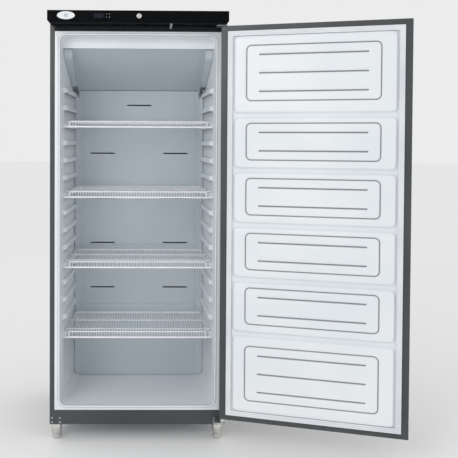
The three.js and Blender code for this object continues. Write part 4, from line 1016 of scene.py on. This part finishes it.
grip_steps = ((7, -0.4, 16), (7, -1.4, 16), (6.1, -2.3, 15), (1.2, -2.3, 11), (0.2, -1.6, 10),
              (-0.3, -0.3, 10), (-1.2, 21, 10), (-2.4, 24.2, 9), (-5, 25.6, 7))
rings = [grip_ring(grow * mm, door_front + y * mm, radius * mm) for grow, y, radius in grip_steps]
faces = grid_faces(len(rings), count, wrap_columns=True)
faces.append(list(range((len(rings) - 1) * count, len(rings) * count)))
grip = add_piece("grip_cup", hung(np.array(rings)), faces, "door", "black_plastic", ["door_grip"],
                 outward=door_outward, material=matte_black)
thicken(grip, 1.6 * mm)

# ---- Door liner ----
# One sheet of the same white plastic as the tub, formed into six raised panels. Each has a grooved border
# with round corners and two or three level grooves that end in a small dimple.

panel_half = door_half - side_margin - 22 * mm - 9 * mm
panel_gap, panel_proud = 22 * mm, 15 * mm
panel_top = shell_high - end_margin - 24 * mm
heights = np.array([325, 212, 212, 212, 212, 324.0])
heights *= (panel_top - shell_low - end_margin - 24 * mm - 5 * panel_gap) / heights.sum()
tops = panel_top - np.concatenate([[0], np.cumsum(heights + panel_gap)[:-1]])
groove_pitch = 78 * mm
edge_fine = np.array([-5, -3.4, -2.2, -1.1, 0, 1.1, 2.2, 3.4, 5]) * mm
corner_fine = np.array([7, 9.5, 12, 15, 18, 21]) * mm
border_x = (-0.2671, 0.2762)
groove_x = (-0.2166, 0.2211)
border_z, groove_z, borders = [], [], []
for top, height in zip(tops, heights):
    middle = top - height / 2 + 5 * mm
    tall = 117.2 * mm if height > 0.25 else 77.9 * mm
    borders.append((middle, tall))
    border_z += [middle - tall, middle + tall]
    levels = (-1, 0, 1) if height > 0.25 else (-0.5, 0.5)
    groove_z += [middle + level * groove_pitch for level in levels]
panel_ends = np.concatenate([tops, tops - heights])
sheet_half = door_half - side_margin - 0.3 * mm
sheet_low, sheet_high = shell_low + end_margin + 0.3 * mm, shell_high - end_margin - 0.3 * mm
panel_rims = np.concatenate([panel_ends + c * mm for c in (-5, -2.5, 0, 2.5, 5)])
corner_x = np.concatenate([border_x[0] + corner_fine, border_x[1] - corner_fine])
corner_z = np.concatenate([[middle - tall + corner_fine, middle + tall - corner_fine]
                           for middle, tall in borders])
liner_x = lines_near(-sheet_half, sheet_half, 20 * mm, [-panel_half, panel_half, *border_x, *groove_x],
                     edge_fine)
liner_x = np.unique(np.round(np.concatenate([liner_x, corner_x]), 5))
liner_z = lines_near(sheet_low, sheet_high, 20 * mm, [*border_z, *groove_z], edge_fine)
liner_z = np.unique(np.round(np.concatenate([liner_z, panel_rims, corner_z.ravel()]), 5))
liner_z = liner_z[np.concatenate([[True], np.diff(liner_z) > 0.3 * mm])]
gx, gz = np.meshgrid(liner_x, liner_z)
# The second array holds painted shade for the grooves: along each border and level groove the white runs
# towards grey.
relief, door_painted_shade = np.zeros_like(gx), np.zeros_like(gx)
for top, height, (middle, tall) in zip(tops, heights, borders):
    relief += panel_proud * pressed(gx, gz, (0, top - height / 2), (panel_half, height / 2),
                                    14 * mm, 8 * mm)
    away = edge_distance(gx, gz, (sum(border_x) / 2, middle), ((border_x[1] - border_x[0]) / 2, tall),
                         20 * mm)
    relief -= 4.6 * mm * ease(1 - np.abs(away) / (4.6 * mm))
    door_painted_shade = np.maximum(door_painted_shade, ease(1.15 - np.abs(away) / (3.2 * mm)) * 0.8)
for z in groove_z:
    half = (groove_x[1] - groove_x[0]) / 2
    away = edge_distance(gx, gz, (sum(groove_x) / 2, z), (half, 0.6 * mm), 0.6 * mm)
    relief -= 4.4 * mm * ease(1 - away / (4.2 * mm))
    door_painted_shade = np.maximum(door_painted_shade, ease(1.15 - away / (3.2 * mm)) * 0.8)
    relief -= 1.6 * mm * ease(1 - np.hypot(gx - groove_x[1] + 1 * mm, gz - z) / (5.5 * mm))
points = np.stack([gx, door_back + relief, gz], -1)
door_sheet = add_piece("door_liner_sheet", hung(points), grid_faces(*gx.shape), "door", "liner_plastic",
                       ["door_liner"], outward=-door_outward, material=formed_plastic)
# Stores the grooves' painted shade on the sheet.
mark_painted_shade(door_sheet, door_painted_shade)
wall = door_sheet.modifiers.new("wall", "SOLIDIFY")
wall.thickness, wall.offset = 1.4 * mm, -1.0

# ---- Door gasket ----
# A soft white extrusion with a magnet inside, welded at its mitred corners and pushed into the liner's
# edge. Its bellows let it reach the cabinet's flange, and its sealing face has two fine grooves.

profile = np.array([[0.3, 0], [0, 2], [1.6, 3.6], [0.2, 5.2], [0, 8.5], [0.8, 10.9], [2.2, 11.6],
                    [6.0, 11.7], [7.0, 10.3], [8.0, 11.7], [13.6, 11.7], [14.6, 10.3], [15.6, 11.7],
                    [19.8, 11.6], [21.2, 10.9], [22, 8.5], [21.8, 5.2], [20.4, 3.6], [22, 2],
                    [21.7, 0]]) * mm
play = 0.3 * mm
rings = [door_ring(side_margin + play + k, door_back + play + y, end_margin + play + k, 1.2 * mm)
         for k, y in profile]
vinyl = new_finish("gasket_vinyl", srgb(226, 227, 232), 0.55)
tinted(vinyl, ("noise", 5.0, 3.0), srgb(219, 221, 227), srgb(232, 233, 237))
roughened(vinyl, ("noise", 50.0, 3.0), 0.46, 0.62)
embossed(vinyl, ("noise", 900.0, 1.0), 0.00005, 0.3)
add_piece("gasket_extrusion", hung(np.array(rings)),
          grid_faces(len(rings), len(rings[0]), wrap_rows=True, wrap_columns=True), "door", "gasket_vinyl",
          ["door_gasket"], material=vinyl)

nylon = new_finish("nylon", srgb(232, 232, 226), 0.4)
roughened(nylon, ("noise", 80.0, 2.0), 0.34, 0.48)
for node in ("door_bush_lower", "door_bush_upper"):
    refined(node, "door", nylon, 0.6 * mm)

foam = new_finish("polyurethane_foam", srgb(226, 214, 172), 0.92)
tinted(foam, ("noise", 30.0, 5.0), srgb(214, 200, 156), srgb(236, 226, 190))
embossed(foam, ("cells", 400.0), 0.0006, 0.5)
paint("cabinet_foam", foam)
core_half, core_rim = door_half - 1.1 * mm, 1.1 * mm
core = rounded_ring(-core_half, core_half, shell_low + core_rim, shell_high - core_rim, 2 * mm, 0, arc=4)
core_points, core_faces = prism(core[:, [0, 2]], door_front + 30 * mm, door_back - 2.5 * mm)
add_piece("door_foam_core", hung(core_points), core_faces, "door", "insulating_foam", ["door_foam"],
          material=foam)

# ---- Legs and feet ----
# Turned from stainless steel: a sleeve under each corner, and a foot whose threaded stem screws into it.

sleeve = [[0, 67], [13.6, 67], [13.6, 20.7], [14.2, 20], [20.2, 20], [20.9, 20.6], [23.2, 30.8],
          [23.5, 32.4], [23.5, 64], [23.1, 64.5], [23.1, 65.5], [23.5, 66], [23.5, 73.9], [22.8, 74.7],
          [0, 74.7]]
pad = [[0, 65], [12.4, 65], [13, 64.4], [13, 19.6], [13.6, 19], [19.3, 19], [20, 18.3], [20, 13.2],
       [19.6, 12.8], [19.6, 12.2], [20, 11.8], [20, 6.6], [19.6, 5.4], [16.5, 0.5], [15.6, 0], [0, 0]]
for place in ("front_left", "front_right", "rear_left", "rear_right"):
    low, high = box_of("leg_" + place)
    centre = np.array([(low[0] + high[0]) / 2, (low[1] + high[1]) / 2, 0])
    for piece, turned, body, node in (("sleeve_", sleeve, "cabinet", "leg_"),
                                      ("pad_", pad, "foot_" + place, "foot_")):
        add_piece(piece + place, *lathe(np.array(turned) * mm, centre, "z", 64), body, "polished_steel",
                  [node + place], material=chrome)

# ---- Evaporator ----
# Aluminium fins on tubes over a drip pan, with a small axial fan in front. It all sits above the sloping
# cover, out of sight in use.

aluminium = new_finish("bare_aluminium", srgb(186, 192, 198), 0.34, 1.0)
tinted(aluminium, ("noise", 8.0, 4.0, (1, 1, 0.1)), srgb(176, 182, 189),
       srgb(198, 203, 208))
roughened(aluminium, ("noise", 120.0, 4.0, (0.05, 1, 1)), 0.26, 0.46)
paint("evaporator_coil", aluminium)
refined("evaporator_drip_pan", "cabinet", aluminium, 0.5 * mm)
for node in ("evaporator_fan_motor", "evaporator_fan_shroud"):
    refined(node, "cabinet", matte_black, 0.6 * mm)
refined("evaporator_fan_blade", "evaporator_fan", matte_black, 0.5 * mm)

# ---- Machine compartment and back ----
# A hermetic compressor in black enamel on rubber grommets, a copper condenser with its fan, and the tray
# where defrost water dries off. A galvanised grille with pressed louvres closes it, held by screws.

copper = new_finish("copper_tube", srgb(184, 112, 78), 0.3, 1.0)
tinted(copper, ("noise", 22.0, 4.0), srgb(158, 90, 62), srgb(198, 128, 92))
roughened(copper, ("noise", 60.0, 4.0), 0.24, 0.44)
paint("condenser_coil", copper)
paint("compressor_tray", zinc)
refined("condenser_fan_shroud", "cabinet", zinc, 0.4 * mm)
refined("condenser_fan_motor", "cabinet", matte_black, 0.6 * mm)
refined("condenser_fan_blade", "condenser_fan", matte_black, 0.5 * mm)
refined("evaporation_tray", "cabinet", matte_black, 0.8 * mm)
refined("cord_gland", "cabinet", matte_black, 0.7 * mm)

enamel = new_finish("compressor_enamel", srgb(20, 21, 22), 0.3, 0.0, Coat_Weight=0.5, Coat_Roughness=0.15)
roughened(enamel, ("noise", 24.0, 4.0), 0.24, 0.42)
embossed(enamel, ("noise", 260.0, 3.0), 0.00015, 0.4)
low, high = box_of("compressor")
centre = np.array([(low[0] + high[0]) / 2, (low[1] + high[1]) / 2, 0])
base = low[2] / mm + 12
shell = [[0, 1], [46, 1], [54, 3], [59, 9], [61, 17], [61, 88], [63, 89], [63, 93], [61, 94], [61, 108],
         [59, 124], [53, 141], [43, 153], [28, 161], [12, 164.6], [0, 165]]
parts = [lathe((np.array(shell) + [0, base]) * mm, centre, "z", 64)]
foot_half = np.array([92, 32]) * mm
foot_outline = rounded_ring(centre[0] - foot_half[0], centre[0] + foot_half[0], centre[1] - foot_half[1],
                            centre[1] + foot_half[1], 12 * mm, 0, arc=6)
n = len(foot_outline)
slab = np.zeros((2, n, 3))
slab[..., 0], slab[..., 1] = foot_outline[:, 0], foot_outline[:, 2]
slab[0, :, 2], slab[1, :, 2] = base * mm, (base + 3) * mm
parts.append((slab.reshape(-1, 3), grid_faces(2, n, wrap_columns=True) + [list(range(n))[::-1],
                                                                         list(range(n, 2 * n))]))
add_piece("compressor_shell", *joined(parts), "cabinet", "compressor_enamel", ["compressor"],
          material=enamel)
rubber = new_finish("rubber_grommet", srgb(30, 30, 31), 0.8)
roughened(rubber, ("noise", 90.0), 0.7, 0.9)
grommet = np.array([[0, 0], [8, 0], [8.5, 1.5], [6.5, 5], [8.5, 8.5], [8, 11.5], [5, 13.5], [0, 13.5]]) * mm
add_piece("compressor_grommets", *joined([
    lathe(grommet + [0, low[2]], centre + [sx * 82 * mm, sy * 24 * mm, 0], "z", 24)
    for sx in (-1, 1) for sy in (-1, 1)]), "cabinet", "black_plastic", material=rubber)

paint("rear_grille", zinc)
grille_low, grille_high = box_of("rear_grille")
grille_half = grille_high[0]
hood_x = np.concatenate([np.linspace(-79, -70, 6), np.linspace(-60, 60, 7), np.linspace(70, 79, 6)]) * mm
hood_z = np.linspace(0, 15, 9) * mm
gx, gz = np.meshgrid(hood_x, hood_z)
arch = np.sqrt(np.clip(1 - (gz / (15 * mm)) ** 2, 0, 1))
bulge = 4.3 * mm * ease((79 * mm - np.abs(gx)) / (9 * mm)) * arch
parts = []
for middle in (-0.56, 0, 0.56):
    for row in range(6):
        place = np.array([middle * grille_half, grille_high[1], casing_low + (60 + 32 * row) * mm])
        parts.append((np.stack([gx, bulge + 0.1 * mm, gz], -1) + place, grid_faces(*gx.shape)))
hoods = add_piece("grille_louvres", *joined(parts), "cabinet", "galvanised_steel", outward=(0, 1, 0),
                  material=zinc)
hoods_wall = hoods.modifiers.new("wall", "SOLIDIFY")
hoods_wall.thickness, hoods_wall.offset = 0.8 * mm, -1.0

heads, marks = [], []
rows = (grille_low[2] + 12 * mm, grille_high[2] - 8 * mm, grille_high[2] + 12 * mm, casing_high - 12 * mm)
places = [(x, z) for x in (-0.95, -0.33, 0.33, 0.95) for z in rows]
places += [(side * 0.97, z) for side in (-1, 1) for z in (0.68, 0.99, 1.3, 1.6)]
for x, z in places:
    head, arms = pan_head((x * grille_half, grille_high[1], z), 4.2 * mm, 2 * mm, 1)
    heads.append(head)
    marks += arms
add_piece("back_screw_heads", *joined(heads), "cabinet", "galvanised_steel", material=plated)
# The back screws' recesses take the same painted shade.
add_piece("back_screw_cross_painted_shade", *joined(marks), "cabinet", "galvanised_steel", material=recess_painted_shade)
